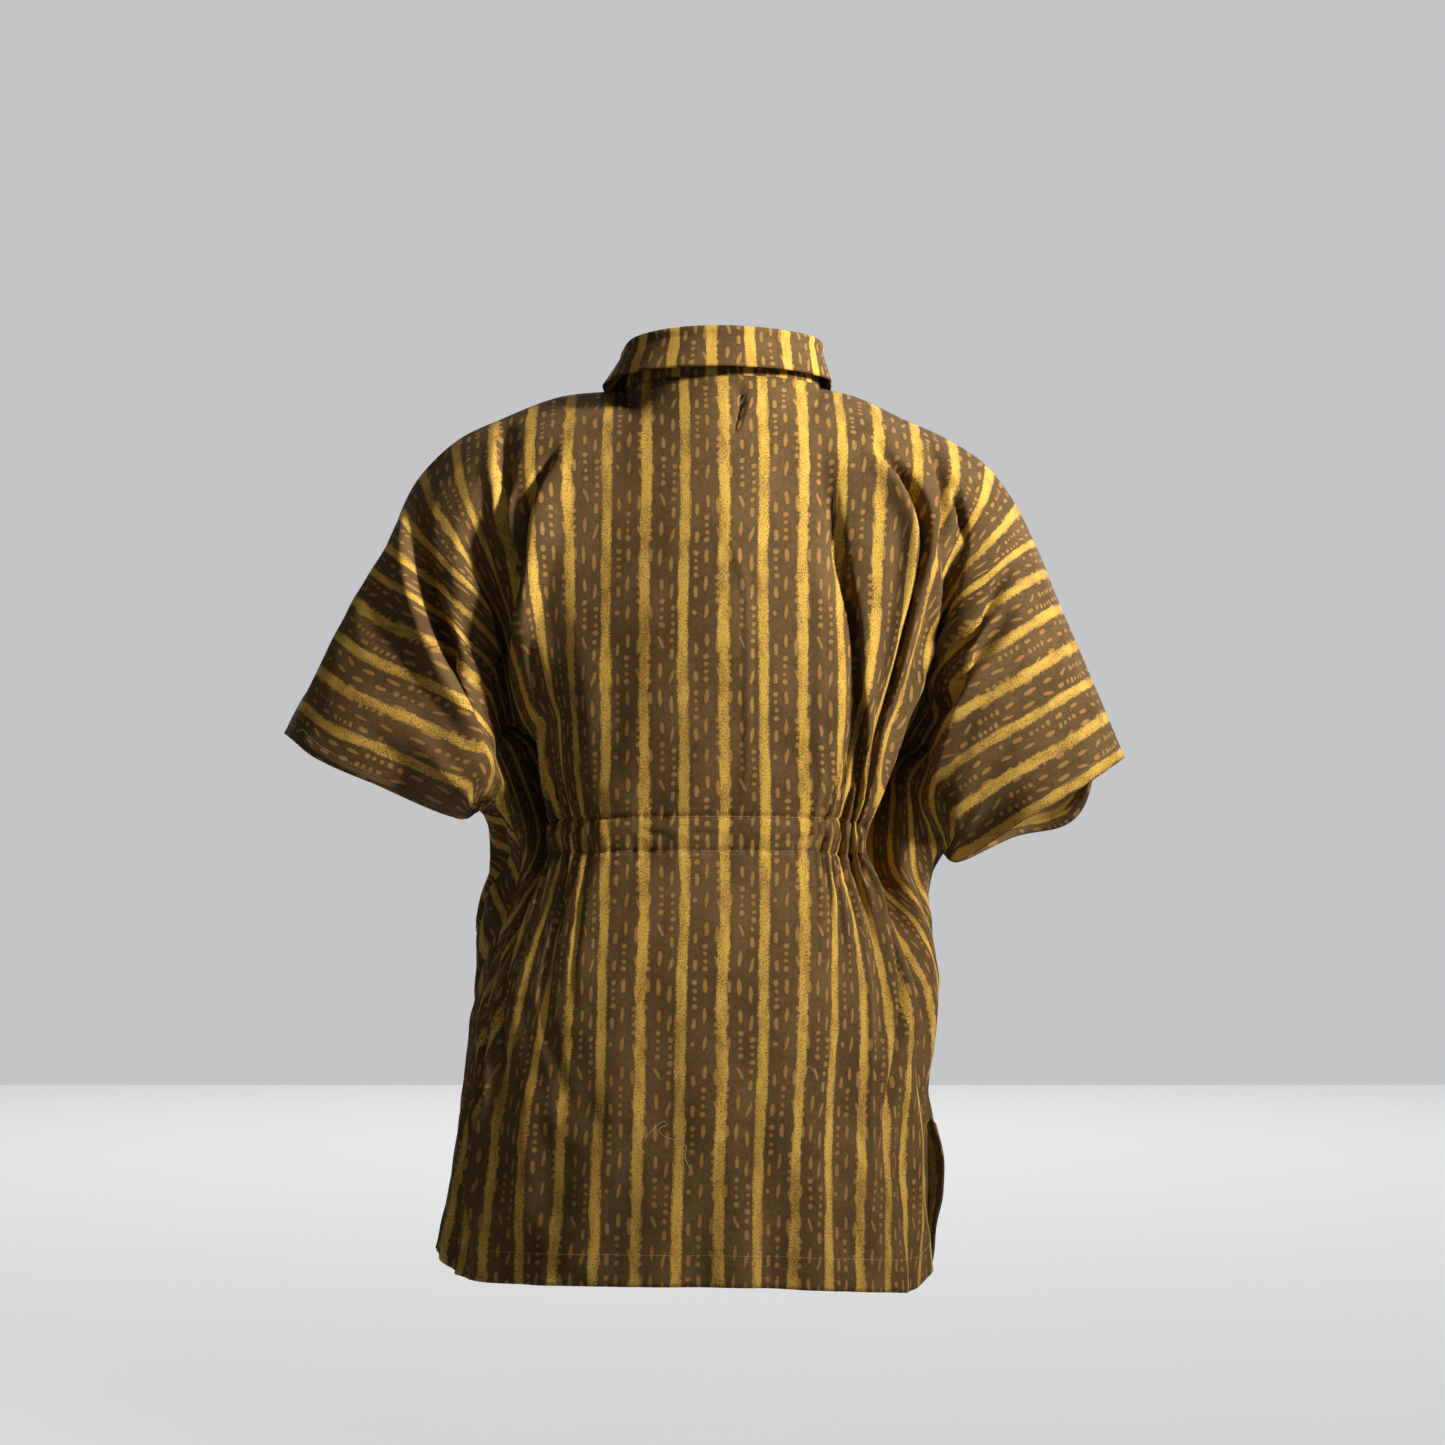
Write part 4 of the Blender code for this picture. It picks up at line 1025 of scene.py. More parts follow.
def noise(tree, place, scale, detail=2.0, roughness=0.5):
    node = add_node(tree, "ShaderNodeTexNoise")
    put(tree, place, node.inputs["Vector"])
    node.inputs["Scale"].default_value = scale
    node.inputs["Detail"].default_value = detail
    node.inputs["Roughness"].default_value = roughness
    return node.outputs[0]


def spots(tree, across, along, wide, tall, deep):
    """A place on the flat cloth, in units of a pattern's spots that are so wide and so tall."""
    return place_of(tree, maths(tree, "DIVIDE", across, wide), maths(tree, "DIVIDE", along, tall), deep)


def swing(tree, value, amount):
    """A value from 0 to 1 as a swing to both sides of zero."""
    return maths(tree, "MULTIPLY", maths(tree, "SUBTRACT", value, 0.5), amount)


def distance(tree, x, y):
    squares = maths(tree, "ADD", maths(tree, "MULTIPLY", x, x), maths(tree, "MULTIPLY", y, y))
    return maths(tree, "SQRT", squares)


def choose(tree, use, first, second):
    """The first value where use is 1, and the second where it is 0."""
    return maths(tree, "ADD", maths(tree, "MULTIPLY", first, use),
                 maths(tree, "MULTIPLY", second, maths(tree, "SUBTRACT", 1.0, use)))


def blend(tree, amount, first, second):
    node = add_node(tree, "ShaderNodeMix", data_type="RGBA")
    put(tree, amount, node.inputs["Factor"])
    for value, socket in ((first, node.inputs[6]), (second, node.inputs[7])):
        put(tree, (*value, 1.0) if isinstance(value, tuple) else value, socket)
    return node.outputs[2]


def raised(tree, height, strength, depth, normal=None):
    """The surface raised by a height, on top of another raised surface if one is given."""
    node = add_node(tree, "ShaderNodeBump")
    node.inputs["Strength"].default_value = strength
    node.inputs["Distance"].default_value = depth
    tree.links.new(height, node.inputs["Height"])
    if normal is not None:
        tree.links.new(normal, node.inputs["Normal"])
    return node.outputs[0]


def new_group(name, inputs, outputs):
    group = bpy.data.node_groups.new(name, "ShaderNodeTree")
    for label, value in inputs:
        socket = group.interface.new_socket(name=label, in_out="INPUT", socket_type="NodeSocketFloat")
        socket.default_value = value
    for label in outputs:
        group.interface.new_socket(name=label, in_out="OUTPUT", socket_type="NodeSocketFloat")
    return group, group.nodes.new("NodeGroupInput").outputs, group.nodes.new("NodeGroupOutput").inputs


def use_group(tree, group, **values):
    node = add_node(tree, "ShaderNodeGroup", node_tree=group)
    for label, value in values.items():
        put(tree, value, node.inputs[label.replace("_", " ")])
    return node.outputs


def wavering(tree, across, along, amounts, seed):
    """A place across the cloth, moved to and fro as a hand-cut block leaves it."""
    total = across
    for size, stretch, amount in amounts:
        wave = noise(tree, spots(tree, across, along, size, size * stretch, seed), 1.0, 1.0)
        total = maths(tree, "ADD", total, swing(tree, wave, amount))
        seed += 3.7
    return total


def ragged_stripes():
    """Long stripes with rough edges, and the specks where the colour missed the cloth."""
    tree, given, made = new_group("ragged stripes", (("Across", 0), ("Along", 0), ("Pitch", 33.6), ("Width", 9.4)),
                                  ("Stripe", "Specks", "Thin"))
    across, along, pitch, width = (given[label] for label in ("Across", "Along", "Pitch", "Width"))
    moved = wavering(tree, across, along, ((70, 2.0, 4.0), (12, 1.3, 2.0), (3.0, 1.0, 1.6), (1.3, 1.0, 0.9)), 1.0)
    away = maths(tree, "PINGPONG", moved, maths(tree, "DIVIDE", pitch, 2.0))
    swell = noise(tree, spots(tree, across, along, 30.0, 24.0, 8.0), 1.0, 2.0)
    half = maths(tree, "ADD", maths(tree, "DIVIDE", width, 2.0), swing(tree, swell, 3.4))
    inside = maths(tree, "SUBTRACT", half, away)
    tree.links.new(fade(tree, inside, -0.25, 0.35), made["Stripe"])
    thin = noise(tree, spots(tree, across, along, 16.0, 42.0, 3.0), 1.0, 4.0, 0.65)
    speck = noise(tree, spots(tree, across, along, 1.0, 1.5, 5.0), 1.0, 1.5, 0.6)
    edge = fade(tree, inside, 2.0, 0.1, 0.0, 0.12)
    level = maths(tree, "ADD", maths(tree, "ADD", speck, edge), swing(tree, thin, 0.45))
    tree.links.new(fade(tree, level, 0.48, 0.64), made["Specks"])
    tree.links.new(fade(tree, thin, 0.42, 0.66), made["Thin"])
    return tree


def dashes_and_dots():
    """Columns of upright dashes and groups of dots, in one block that repeats across and down."""
    tree, given, made = new_group(
        "dashes and dots",
        (("Across", 0), ("Along", 0), ("Column", 9.6), ("Cell", 23.8), ("Columns", 7), ("Cells", 5)),
        ("Mark", "Ring", "Pale"))
    across, along = given["Across"], given["Along"]
    column, cell = given["Column"], given["Cell"]
    moved = wavering(tree, across, along, ((70, 1.5, 3.0), (9, 1.2, 2.2), (2.6, 1.2, 1.2)), 21.0)
    dropped = wavering(tree, along, across, ((50, 1.5, 4.0), (8, 1.0, 2.0), (2.6, 1.0, 0.9)), 31.0)
    column_at = maths(tree, "DIVIDE", moved, column)
    column_no = maths(tree, "FLOOR", column_at)
    in_block = maths(tree, "FLOORED_MODULO", column_no, given["Columns"])
    step = add_node(tree, "ShaderNodeTexWhiteNoise", noise_dimensions="2D")
    put(tree, place_of(tree, in_block, 4.3), step.inputs["Vector"])
    cell_at = maths(tree, "ADD", maths(tree, "DIVIDE", dropped, cell), maths(tree, "MULTIPLY", step.outputs[0], 0.9))
    cell_no = maths(tree, "FLOOR", cell_at)
    in_height = maths(tree, "FLOORED_MODULO", cell_no, given["Cells"])
    chance = add_node(tree, "ShaderNodeTexWhiteNoise", noise_dimensions="2D")
    put(tree, place_of(tree, maths(tree, "ADD", in_block, 0.5), maths(tree, "ADD", in_height, 12.5)),
        chance.inputs["Vector"])
    parts = add_node(tree, "ShaderNodeSeparateColor")
    tree.links.new(chance.outputs["Color"], parts.inputs[0])
    kind, length, slope = parts.outputs
    x = maths(tree, "MULTIPLY", maths(tree, "SUBTRACT", maths(tree, "FRACT", column_at), 0.5), column)
    y = maths(tree, "MULTIPLY", maths(tree, "SUBTRACT", maths(tree, "FRACT", cell_at), 0.5), cell)
    x = maths(tree, "ADD", x, swing(tree, length, 1.8))
    lean = maths(tree, "MULTIPLY", maths(tree, "POWER", slope, 5.0), 0.42)
    lean = maths(tree, "MULTIPLY", lean, maths(tree, "SIGN", maths(tree, "SUBTRACT", length, 0.5)))
    leaning = maths(tree, "ADD", x, maths(tree, "MULTIPLY", lean, y))
    # A dash with round ends, thinner away from its middle.
    half = fade(tree, length, 0.0, 1.0, 3.4, 6.2)
    beyond = maths(tree, "MAXIMUM", maths(tree, "SUBTRACT", maths(tree, "ABSOLUTE", y), half), 0.0)
    dash = maths(tree, "SUBTRACT", distance(tree, leaning, beyond),
                 maths(tree, "SUBTRACT", fade(tree, slope, 0.0, 1.0, 2.1, 1.7),
                       maths(tree, "MULTIPLY", maths(tree, "MULTIPLY", y, y), 0.026)))
    # A column of dots, smaller towards its ends.
    fold = maths(tree, "PINGPONG", maths(tree, "ADD", y, 12.8), 3.2)
    dot_y = maths(tree, "SUBTRACT", 3.2, fold)
    size = maths(tree, "ADD", 1.55, maths(tree, "MULTIPLY", maths(tree, "ABSOLUTE", y), 0.09))
    dots = maths(tree, "SUBTRACT", distance(tree, x, dot_y), size)
    # A short dash over one dot; in some places the dash is left out.
    from_upper = maths(tree, "ABSOLUTE", maths(tree, "SUBTRACT", y, 4.6))
    short = maths(tree, "MAXIMUM", maths(tree, "SUBTRACT", from_upper, 2.6), 0.0)
    one = maths(tree, "SUBTRACT", distance(tree, leaning, short), 1.8)
    other = maths(tree, "SUBTRACT", distance(tree, x, maths(tree, "ADD", y, 6.6)), 2.1)
    one = maths(tree, "ADD", one, maths(tree, "MULTIPLY", maths(tree, "GREATER_THAN", kind, 0.92), 9.0))
    pair = maths(tree, "MINIMUM", one, other)
    use_dots = maths(tree, "LESS_THAN", kind, 0.20)
    use_pair = maths(tree, "GREATER_THAN", kind, 0.80)
    nearest = choose(tree, use_pair, pair, choose(tree, use_dots, dots, dash))
    tree.links.new(fade(tree, nearest, 0.45, -0.40), made["Mark"])
    tree.links.new(fade(tree, nearest, 1.5, 0.2), made["Ring"])
    tree.links.new(fade(tree, nearest, -0.5, -1.4), made["Pale"])
    return tree


def plain_weave():
    """Over-and-under threads of uneven thickness."""
    tree, given, made = new_group("plain weave", (("Across", 0), ("Along", 0), ("Thread", 0.42)), ("Height", "Shade"))
    across = maths(tree, "DIVIDE", given["Across"], given["Thread"])
    along = maths(tree, "DIVIDE", given["Along"], given["Thread"])
    warp = maths(tree, "SINE", maths(tree, "MULTIPLY", across, math.pi))
    weft = maths(tree, "SINE", maths(tree, "MULTIPLY", along, math.pi))
    height = maths(tree, "MULTIPLY", warp, weft)
    slub_warp = noise(tree, spots(tree, across, along, 1.0, 60.0, 2.0), 0.9, 2.0, 0.7)
    slub_weft = noise(tree, spots(tree, across, along, 60.0, 1.0, 6.0), 0.9, 2.0, 0.7)
    slubs = maths(tree, "ADD", slub_warp, slub_weft)
    tree.links.new(maths(tree, "ADD", maths(tree, "MULTIPLY", height, 0.35), slubs), made["Height"])
    tree.links.new(fade(tree, slubs, 0.6, 1.4, 0.86, 1.12), made["Shade"])
    return tree


def handled_cloth():
    """The uneven tone of dyed cloth, and fine creases from wear."""
    tree, given, made = new_group("handled cloth", (("Across", 0), ("Along", 0)), ("Tone", "Crumple"))
    across, along = given["Across"], given["Along"]
    wide = spots(tree, across, along, 45.0, 70.0, 4.0)
    fine = spots(tree, across, along, 3.0, 4.0, 9.0)
    tone = maths(tree, "ADD", maths(tree, "MULTIPLY", noise(tree, wide, 1.0, 4.0, 0.55), 0.6),
                 maths(tree, "MULTIPLY", noise(tree, fine, 1.0, 3.0, 0.6), 0.4))
    tree.links.new(tone, made["Tone"])
    tree.links.new(noise(tree, spots(tree, across, along, 16.0, 22.0, 7.0), 1.0, 5.0, 0.55), made["Crumple"])
    return tree


groups = {make.__name__: make() for make in (ragged_stripes, dashes_and_dots, plain_weave, handled_cloth)}


def new_material(name):
    material = bpy.data.materials.new(name)
    material.use_nodes = True
    return material, material.node_tree, material.node_tree.nodes["Principled BSDF"]


def printed_cloth(name, faded=0.0, stripe_start=8.0, specks=1.0):
    """Block-printed cotton. Faded is how far the print has sunk away, as on the wrong side."""
    material, tree, shader = new_material(name)
    flat = add_node(tree, "ShaderNodeUVMap", uv_map="flat cloth")
    parts = add_node(tree, "ShaderNodeSeparateXYZ")
    tree.links.new(flat.outputs[0], parts.inputs[0])
    across = maths(tree, "DIVIDE", maths(tree, "SUBTRACT", parts.outputs[0], stripe_start * MM), MM)
    along = maths(tree, "DIVIDE", parts.outputs[1], MM)
    cloth = use_group(tree, groups["handled_cloth"], Across=across, Along=along)
    weave = use_group(tree, groups["plain_weave"], Across=across, Along=along)
    marks = use_group(tree, groups["dashes_and_dots"], Across=across, Along=along)
    stripes = use_group(tree, groups["ragged_stripes"], Across=across, Along=along)
    colour = blend(tree, fade(tree, cloth["Tone"], 0.38, 0.64), GROUND, GROUND_WORN)
    colour = blend(tree, maths(tree, "MULTIPLY", marks["Ring"], 0.38 * (1 - faded)), colour, RING)
    mark = blend(tree, marks["Pale"], MARK, MARK_PALE)
    colour = blend(tree, maths(tree, "MULTIPLY", marks["Mark"], 0.92), colour, mark)
    stripe = blend(tree, maths(tree, "MULTIPLY", stripes["Thin"], 0.85), STRIPE, STRIPE_DEEP)
    printed = maths(tree, "MULTIPLY", stripes["Stripe"],
                    maths(tree, "SUBTRACT", 1.0, maths(tree, "MULTIPLY", stripes["Specks"], 0.82 * specks)))
    colour = blend(tree, printed, colour, stripe)
    if faded:
        colour = blend(tree, faded, colour, GROUND_WORN)
    shaded = add_node(tree, "ShaderNodeMix", data_type="RGBA", blend_type="MULTIPLY")
    shaded.inputs["Factor"].default_value = 1.0
    tree.links.new(colour, shaded.inputs[6])
    tone = add_node(tree, "ShaderNodeCombineColor")
    for socket in tone.inputs:
        tree.links.new(weave["Shade"], socket)
    tree.links.new(tone.outputs[0], shaded.inputs[7])
    tree.links.new(shaded.outputs[2], shader.inputs["Base Color"])
    tree.links.new(fade(tree, stripes["Stripe"], 0.0, 1.0, 0.86, 0.76), shader.inputs["Roughness"])
    shader.inputs["Sheen Weight"].default_value = 0.01
    shader.inputs["Sheen Roughness"].default_value = 0.5
    shader.inputs["Specular IOR Level"].default_value = 0.12
    creases = raised(tree, cloth["Crumple"], 0.35, 0.0016)
    tree.links.new(raised(tree, weave["Height"], 0.4, 0.00012, creases), shader.inputs["Normal"])
    return material


def sewing_thread():
    material, tree, shader = new_material("sewing thread")
    place = add_node(tree, "ShaderNodeTexCoord")
    twist = noise(tree, place.outputs["Object"], 2600.0, 2.0)
    tree.links.new(blend(tree, twist, tuple(0.7 * c for c in THREAD), THREAD), shader.inputs["Base Color"])
    shader.inputs["Roughness"].default_value = 0.7
    tree.links.new(raised(tree, twist, 0.4, 0.0001), shader.inputs["Normal"])
    return material


right_side = printed_cloth("block print right side")
wrong_side = printed_cloth("block print wrong side", faded=0.45)
collar_side = printed_cloth("block print collar", stripe_start=-7.5, specks=0.35)
thread = sewing_thread()

# The panels

shares = share_list()
levels = level_list()
places = {panel: flat_places(panel, shares, levels) for panel in ("back", "front")}
grids, outs, arm, sewn = panel_grids(shares, levels)
back = drawn_back(grids["back"], outs["back"], arm, sewn)
front = drawn_back(grids["front"], outs["front"], arm, sewn)
cloths = {"back": (back, outs["back"]), "front": (front, outs["front"])}

back_cloth = cloth_sheet("back_cloth", back, places["back"], CLOTH, (right_side, wrong_side))
halves = [cloth_sheet("front_half", half, flat, 0, (), outward=False)
          for half, flat in open_neck_slit(front, places["front"], levels)]
front_cloth = join_pieces("front_cloth", halves)
bpy.ops.object.mode_set(mode="EDIT")
bpy.ops.mesh.select_all(action="SELECT")
bpy.ops.mesh.remove_doubles(threshold=0.00001)
bpy.ops.object.mode_set(mode="OBJECT")
for material in (right_side, wrong_side):
    front_cloth.data.materials.append(material)
apply_modifier(front_cloth, "SOLIDIFY", thickness=CLOTH, offset=-1.0, use_even_offset=False, material_offset=1)
deselect_all()
front_cloth.select_set(True)
bpy.ops.object.shade_smooth()

# The turned hems, each a strip of the panel's own places laid inside it

LAYER_GAP = 0.15
# A share just short of an edge, so that the grid's column on the edge is taken in.
EDGE_SLACK = 0.0001


def turned_hem(name, panel, rows, columns):
    """A strip of a panel, laid inside it."""
    grid, out = cloths[panel]
    chosen = np.ix_(rows, columns)
    inside = grid[chosen] - out[chosen] * (CLOTH / MM + LAYER_GAP)
    return cloth_sheet(name, inside, places[panel][chosen], CLOTH * 0.8, (right_side,), outward=panel == "back")


def hems_of(panel):
    """The hem at the bottom, then those of both slits and of both sleeves."""
    everywhere = np.ones(len(shares), bool)
    in_slit = (levels >= SLIT_LEVEL) & (levels < HEM_LEVEL - BODY_HEM)
    at_slit = 1 - SLIT_HEM / half_width(SLIT_LEVEL) - EDGE_SLACK
    at_end = 1 - SLEEVE_HEM / HALF_SPAN - EDGE_SLACK
    pieces = [turned_hem(panel + "_hem", panel, levels >= HEM_LEVEL - BODY_HEM, everywhere)]
    for name, rows, edge in (("slit", in_slit, at_slit), ("sleeve", levels <= CORNER_LEVEL, at_end)):
        pieces.append(turned_hem(f"{panel}_left_{name}_hem", panel, rows, shares <= -edge))
        pieces.append(turned_hem(f"{panel}_right_{name}_hem", panel, rows, shares >= edge))
    return pieces


back_hems = join_pieces("back_hems", hems_of("back"))
front_hems = join_pieces("front_hems", hems_of("front"))

# The waist channel's strip, inside the back

STRIP_MARGIN = 2.1
channel = np.ix_((levels >= CASING_TOP - STRIP_MARGIN) & (levels <= CASING_BOTTOM + STRIP_MARGIN),
                 (shares >= CASING_LEFT) & (shares <= CASING_RIGHT))
channel_strip = cloth_sheet("channel_strip", back[channel] - outs["back"][channel] * (CLOTH / MM + LAYER_GAP),
                            places["back"][channel], CLOTH, (wrong_side,))


# The collar

def neck_point(turn):
    """The neckline at a turn in degrees from the middle of the back; below zero is on the left."""
    panel = "back" if abs(turn) <= 90 else "front"
    share = NECK_SHARE * min(abs(turn), 180 - abs(turn)) / 90
    share = math.copysign(min(share, NECK_SHARE * NECK_END), turn)
    return top_edge(panel, [share])[0]


def build_collar():
    """The collar: up from inside the neck seam, over the fold, and down to the leaf's edge."""
    turns = np.linspace(-COLLAR_END, COLLAR_END, COLLAR_TURNS)
    sizes = through([row[0] for row in COLLAR], [row[1:] for row in COLLAR], turns)
    seam = np.array([neck_point(turn) for turn in turns])
    angles = np.radians(turns)
    depth = np.where(abs(turns) <= 90, abs(NAPE[1]), THROAT[1])
    away = unit(np.stack([np.sin(angles) * depth, -np.cos(angles) * NECK_RIGHT[0], 0 * angles], axis=1))
    up = np.array([0.0, 0.0, 1.0])
    height, reach, edge = (sizes[:, i:i + 1] for i in range(3))
    reach = reach - COLLAR_LEAN * np.sin(angles)[:, None]
    wave = sum(tall * np.sin(angles * count + start) for tall, count, start in LEAF_WAVES)
    places_up = np.linspace(0.0, 1.0, 9)
    stand_out = through([row[0] for row in STAND], [row[1] for row in STAND], places_up * STAND[-1][0])
    rows = [seam + away * out + up * (COLLAR_LIFT + (height - COLLAR_LIFT) * part)
            for part, out in zip(places_up * STAND[-1][0], stand_out)]
    rows.insert(0, seam - away * (CLOTH / MM + COLLAR_INSIDE) - up * COLLAR_TUCK)
    rows += [seam + away * out + up * (COLLAR_LIFT + (height - COLLAR_LIFT) * part) for part, out in COLLAR_FOLD]
    for part in np.linspace(0.03, 1.0, 15):
        bulge = LEAF_BULGE * math.exp(-((part - 0.06) / 0.10) ** 2)
        soft = wave[:, None] * part
        rows.append(seam + away * (bulge + (reach + soft) * part) + up * (height + (edge - height) * part))
    middle = np.array(rows)
    out = unit(np.cross(np.gradient(middle, axis=1), np.gradient(middle, axis=0)))
    along = np.concatenate([[0.0], np.cumsum(np.linalg.norm(np.diff(middle[LEAF_MIDDLE_ROW], axis=0), axis=1))])
    along -= along[len(along) // 2]
    upward = np.cumsum(np.concatenate([[0.0], np.linalg.norm(np.diff(middle[:, COLLAR_TURNS // 2], axis=0), axis=1)]))
    flat = np.stack(np.broadcast_arrays(along[None, :], upward[:, None]), axis=-1) * MM
    flat = flat + np.array([0.0, COLLAR_PRINT_START])
    points = middle + out * COLLAR_CLOTH / 2 / MM
    piece = cloth_sheet("collar_cloth", points, flat, COLLAR_CLOTH, (collar_side,), outward=False)
    return piece, points, out


collar_cloth, collar_points, collar_out = build_collar()

# Sewing

STITCH_PITCH = 3.0
STITCH_LENGTH = 0.0023
STITCH_WIDTH = 0.0004
EVEN = np.linspace(0.0, 1.0, 400)


def sewn_line(name, panel, start, end):
    """A row of stitches on a panel from one share and level to another."""
    grid, out = cloths[panel]
    share = start[0] + (end[0] - start[0]) * EVEN
    level = start[1] + (end[1] - start[1]) * EVEN
    path = on_cloth(grid, shares, levels, share, level)
    way = on_cloth(out, shares, levels, share, level)
    return stitch_row(name, path, way, STITCH_PITCH, STITCH_LENGTH, STITCH_WIDTH, thread)


waist_stitches = join_pieces("waist_stitches", [
    sewn_line("waist_stitches_top", "back", (-0.655, CASING_TOP), (CASING_RIGHT, CASING_TOP)),
    sewn_line("waist_stitches_bottom", "back", (-0.69, CASING_BOTTOM), (CASING_RIGHT, CASING_BOTTOM)),
])


def hem_stitches(panel):
    sleeve = 1 - SLEEVE_HEM / HALF_SPAN
    slit = 1 - SLIT_HEM / half_width(SLIT_LEVEL)
    hem = HEM_LEVEL - BODY_HEM
    rows = [((-slit, hem), (slit, hem)), ((-slit, SLIT_LEVEL + 1), (-slit, hem)),
            ((slit, SLIT_LEVEL + 1), (slit, hem)), ((-sleeve, 1), (-sleeve, CORNER_LEVEL - 3)),
            ((sleeve, 1), (sleeve, CORNER_LEVEL - 3))]
    pieces = [sewn_line(panel + "_stitches", panel, start, end) for start, end in rows]
    return join_pieces(panel + "_hem_stitches", pieces)


back_stitches = hem_stitches("back")
front_stitches = hem_stitches("front")


def collar_stitches():
    rows = []
    for row in (-3, 9):
        rows.append(stitch_row("collar_stitches", collar_points[row], collar_out[row], STITCH_PITCH,
                               STITCH_LENGTH, STITCH_WIDTH, thread, lift=0.1))
    return join_pieces("collar_stitches", rows)


collar_sewing = collar_stitches()

# Ends of thread that lie loose on the back, each by the share and level of its bends.
LOOSE_THREADS = (
    ((-0.129, 652), (-0.109, 644), (-0.081, 636), (-0.067, 634), (-0.061, 637), (-0.081, 640), (-0.073, 645),
     (-0.047, 648), (-0.018, 650), (-0.003, 655), (-0.005, 662), (0.005, 669), (0.020, 676)),
    ((-0.429, 277), (-0.433, 284), (-0.424, 290), (-0.396, 294)),
    ((0.292, 596), (0.299, 590), (0.311, 591), (0.336, 599)),
)
LOOSE_THREAD_RADIUS = 0.0002
LOOSE_THREAD_LIFT = 0.2


def loose_thread(bends):
    """A thin round thread along its bends."""
    bends = np.array(bends, float)
    share, level = through(np.arange(len(bends)), bends, np.linspace(0, len(bends) - 1, 6 * len(bends))).T
    grid, out = cloths["back"]
    lift = LOOSE_THREAD_LIFT * on_cloth(out, shares, levels, share, level)
    path = on_cloth(grid, shares, levels, share, level) + lift
    piece = curve_along("loose thread", path)
    piece.data.bevel_depth = LOOSE_THREAD_RADIUS
    piece.data.bevel_resolution = 1
    piece.data.use_fill_caps = True
    piece.data.materials.append(thread)
    deselect_all()
    piece.select_set(True)
    bpy.context.view_layer.objects.active = piece
    bpy.ops.object.convert(target="MESH")
    bpy.ops.object.shade_smooth()
    return bpy.context.object


loose_threads = join_pieces("loose_threads", [loose_thread(bends) for bends in LOOSE_THREADS])

for piece, nodes in ((back_cloth, ["back_panel"]), (front_cloth, ["front_panel"]), (collar_cloth, ["collar"]),
                     (channel_strip, ["waist_casing"])):
    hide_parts(*nodes)
for piece in (back_cloth, front_cloth, collar_cloth, channel_strip, back_hems, front_hems, waist_stitches,
              back_stitches, front_stitches, collar_sewing, loose_threads):
    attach(piece, "root")

# The floor, the lights and the camera

FLOOR_HEIGHT = -1.38
ROOM_TONE = (0.95, 0.96, 0.98, 1.0)
FLOOR_GLOW = 0.36
ROOM_LIGHT = 0.05
ROOM_SEEN = 0.58

deselect_all()
bpy.ops.mesh.primitive_plane_add(size=30.0, location=(0, 0, FLOOR_HEIGHT))
floor = bpy.context.object
floor.name = "floor"
floor_material, floor_tree, floor_shader = new_material("pale floor")
floor_place = add_node(floor_tree, "ShaderNodeTexCoord")
floor_tone = noise(floor_tree, floor_place.outputs["Object"], 1.5, 3.0)
floor_tree.links.new(blend(floor_tree, floor_tone, (0.78, 0.77, 0.75), (0.82, 0.81, 0.79)),
                     floor_shader.inputs["Base Color"])
floor_shader.inputs["Roughness"].default_value = 0.9
# The floor glows a little to the eye alone, so it's pale from every side and throws no light on the cloth.
floor_shader.inputs["Emission Color"].default_value = ROOM_TONE
to_the_eye = add_node(floor_tree, "ShaderNodeLightPath").outputs["Is Camera Ray"]
floor_tree.links.new(maths(floor_tree, "MULTIPLY", to_the_eye, FLOOR_GLOW), floor_shader.inputs["Emission Strength"])
floor.data.materials.append(floor_material)


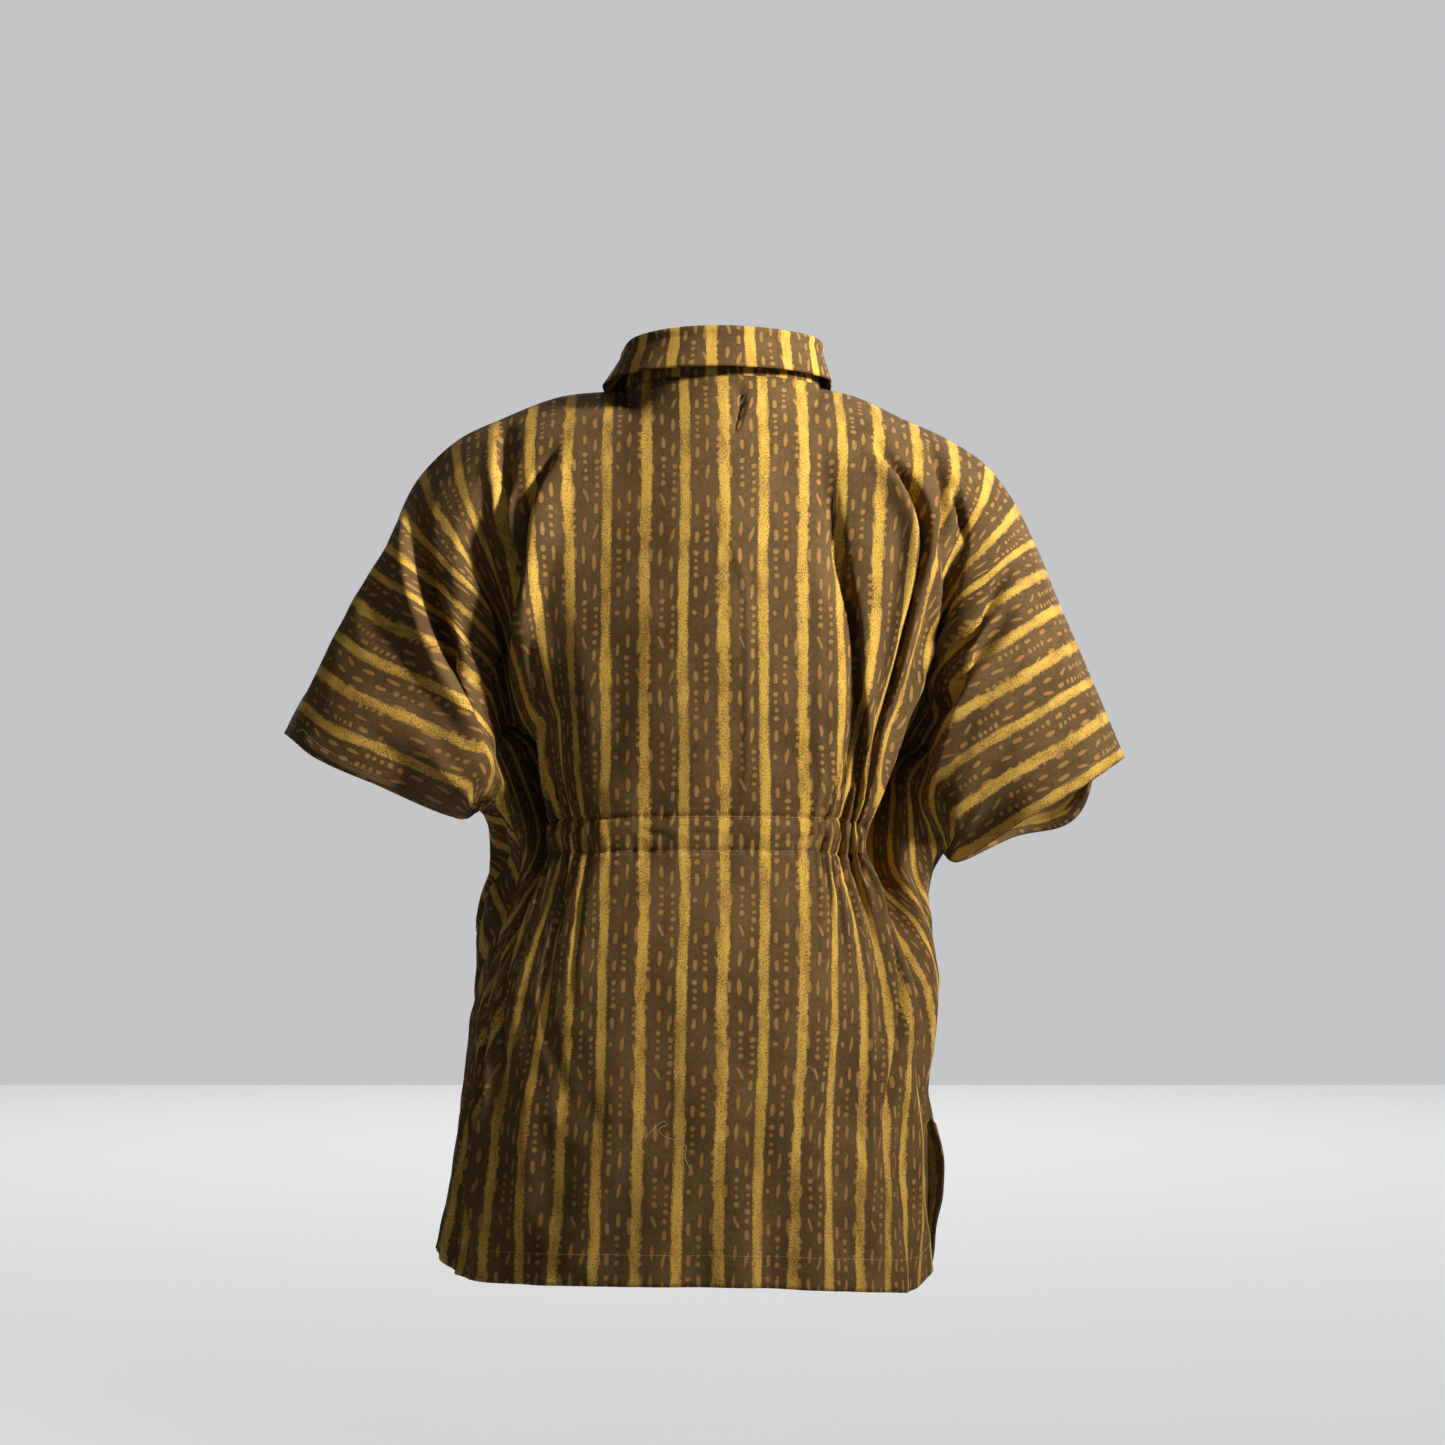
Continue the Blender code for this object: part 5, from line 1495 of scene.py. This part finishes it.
def soft_light(name, place, target, size, power, colour=(1.0, 1.0, 1.0), spread=50):
    light = bpy.data.lights.new(name, "AREA")
    light.shape = "DISK"
    light.size = size
    light.spread = math.radians(spread)
    light.energy = power
    light.color = colour
    lamp = bpy.data.objects.new(name, light)
    lamp.location = place
    lamp.rotation_euler = (Vector(place) - Vector(target)).to_track_quat("Z", "Y").to_euler()
    bpy.context.scene.collection.objects.link(lamp)


MIDDLE = (0.0, 0.0, -0.4)
soft_light("key light", (2.55, -1.5, 0.95), (0.03, 0.0, 0.08), 0.6, 13.2, (1.0, 0.97, 0.93), spread=40)
soft_light("fill light", (-1.2, -2.6, 0.2), MIDDLE, 1.4, 0.15)
soft_light("far light", (1.2, 2.6, 1.2), MIDDLE, 1.4, 3.4)
soft_light("far fill light", (-1.4, 2.6, 0.4), MIDDLE, 1.8, 1.0)
soft_light("floor light", (0.0, 10.0, 8.0), (0.0, 10.0, FLOOR_HEIGHT), 7.0, 400.0, spread=180)
sky = bpy.data.lights.new("top light", "SUN")
sky.energy = 0.55
sky.angle = math.radians(25)
top_light = bpy.data.objects.new("top light", sky)
top_light.rotation_euler = (math.radians(12), math.radians(8), 0.0)
bpy.context.scene.collection.objects.link(top_light)
world = bpy.data.worlds.new("pale room")
world.use_nodes = True
room = world.node_tree
around = room.nodes["Background"]
around.inputs["Color"].default_value = ROOM_TONE
around.inputs["Strength"].default_value = ROOM_LIGHT
seen = add_node(room, "ShaderNodeBackground")
seen.inputs["Color"].default_value = ROOM_TONE
seen.inputs["Strength"].default_value = ROOM_SEEN
either = add_node(room, "ShaderNodeMixShader")
put(room, add_node(room, "ShaderNodeLightPath").outputs["Is Camera Ray"], either.inputs[0])
room.links.new(around.outputs[0], either.inputs[1])
room.links.new(seen.outputs[0], either.inputs[2])
room.links.new(either.outputs[0], room.nodes["World Output"].inputs["Surface"])
bpy.context.scene.world = world
bpy.context.scene.view_settings.view_transform = "Standard"

camera_data = bpy.data.cameras.new("camera")
camera_data.sensor_width = 36.0
camera_data.lens = 64.8
camera = bpy.data.objects.new("camera", camera_data)
camera.location = (0.0, -2.27, -0.495)
camera.rotation_euler = (math.radians(95.0), 0.0, 0.0)
bpy.context.scene.collection.objects.link(camera)
bpy.context.scene.camera = camera
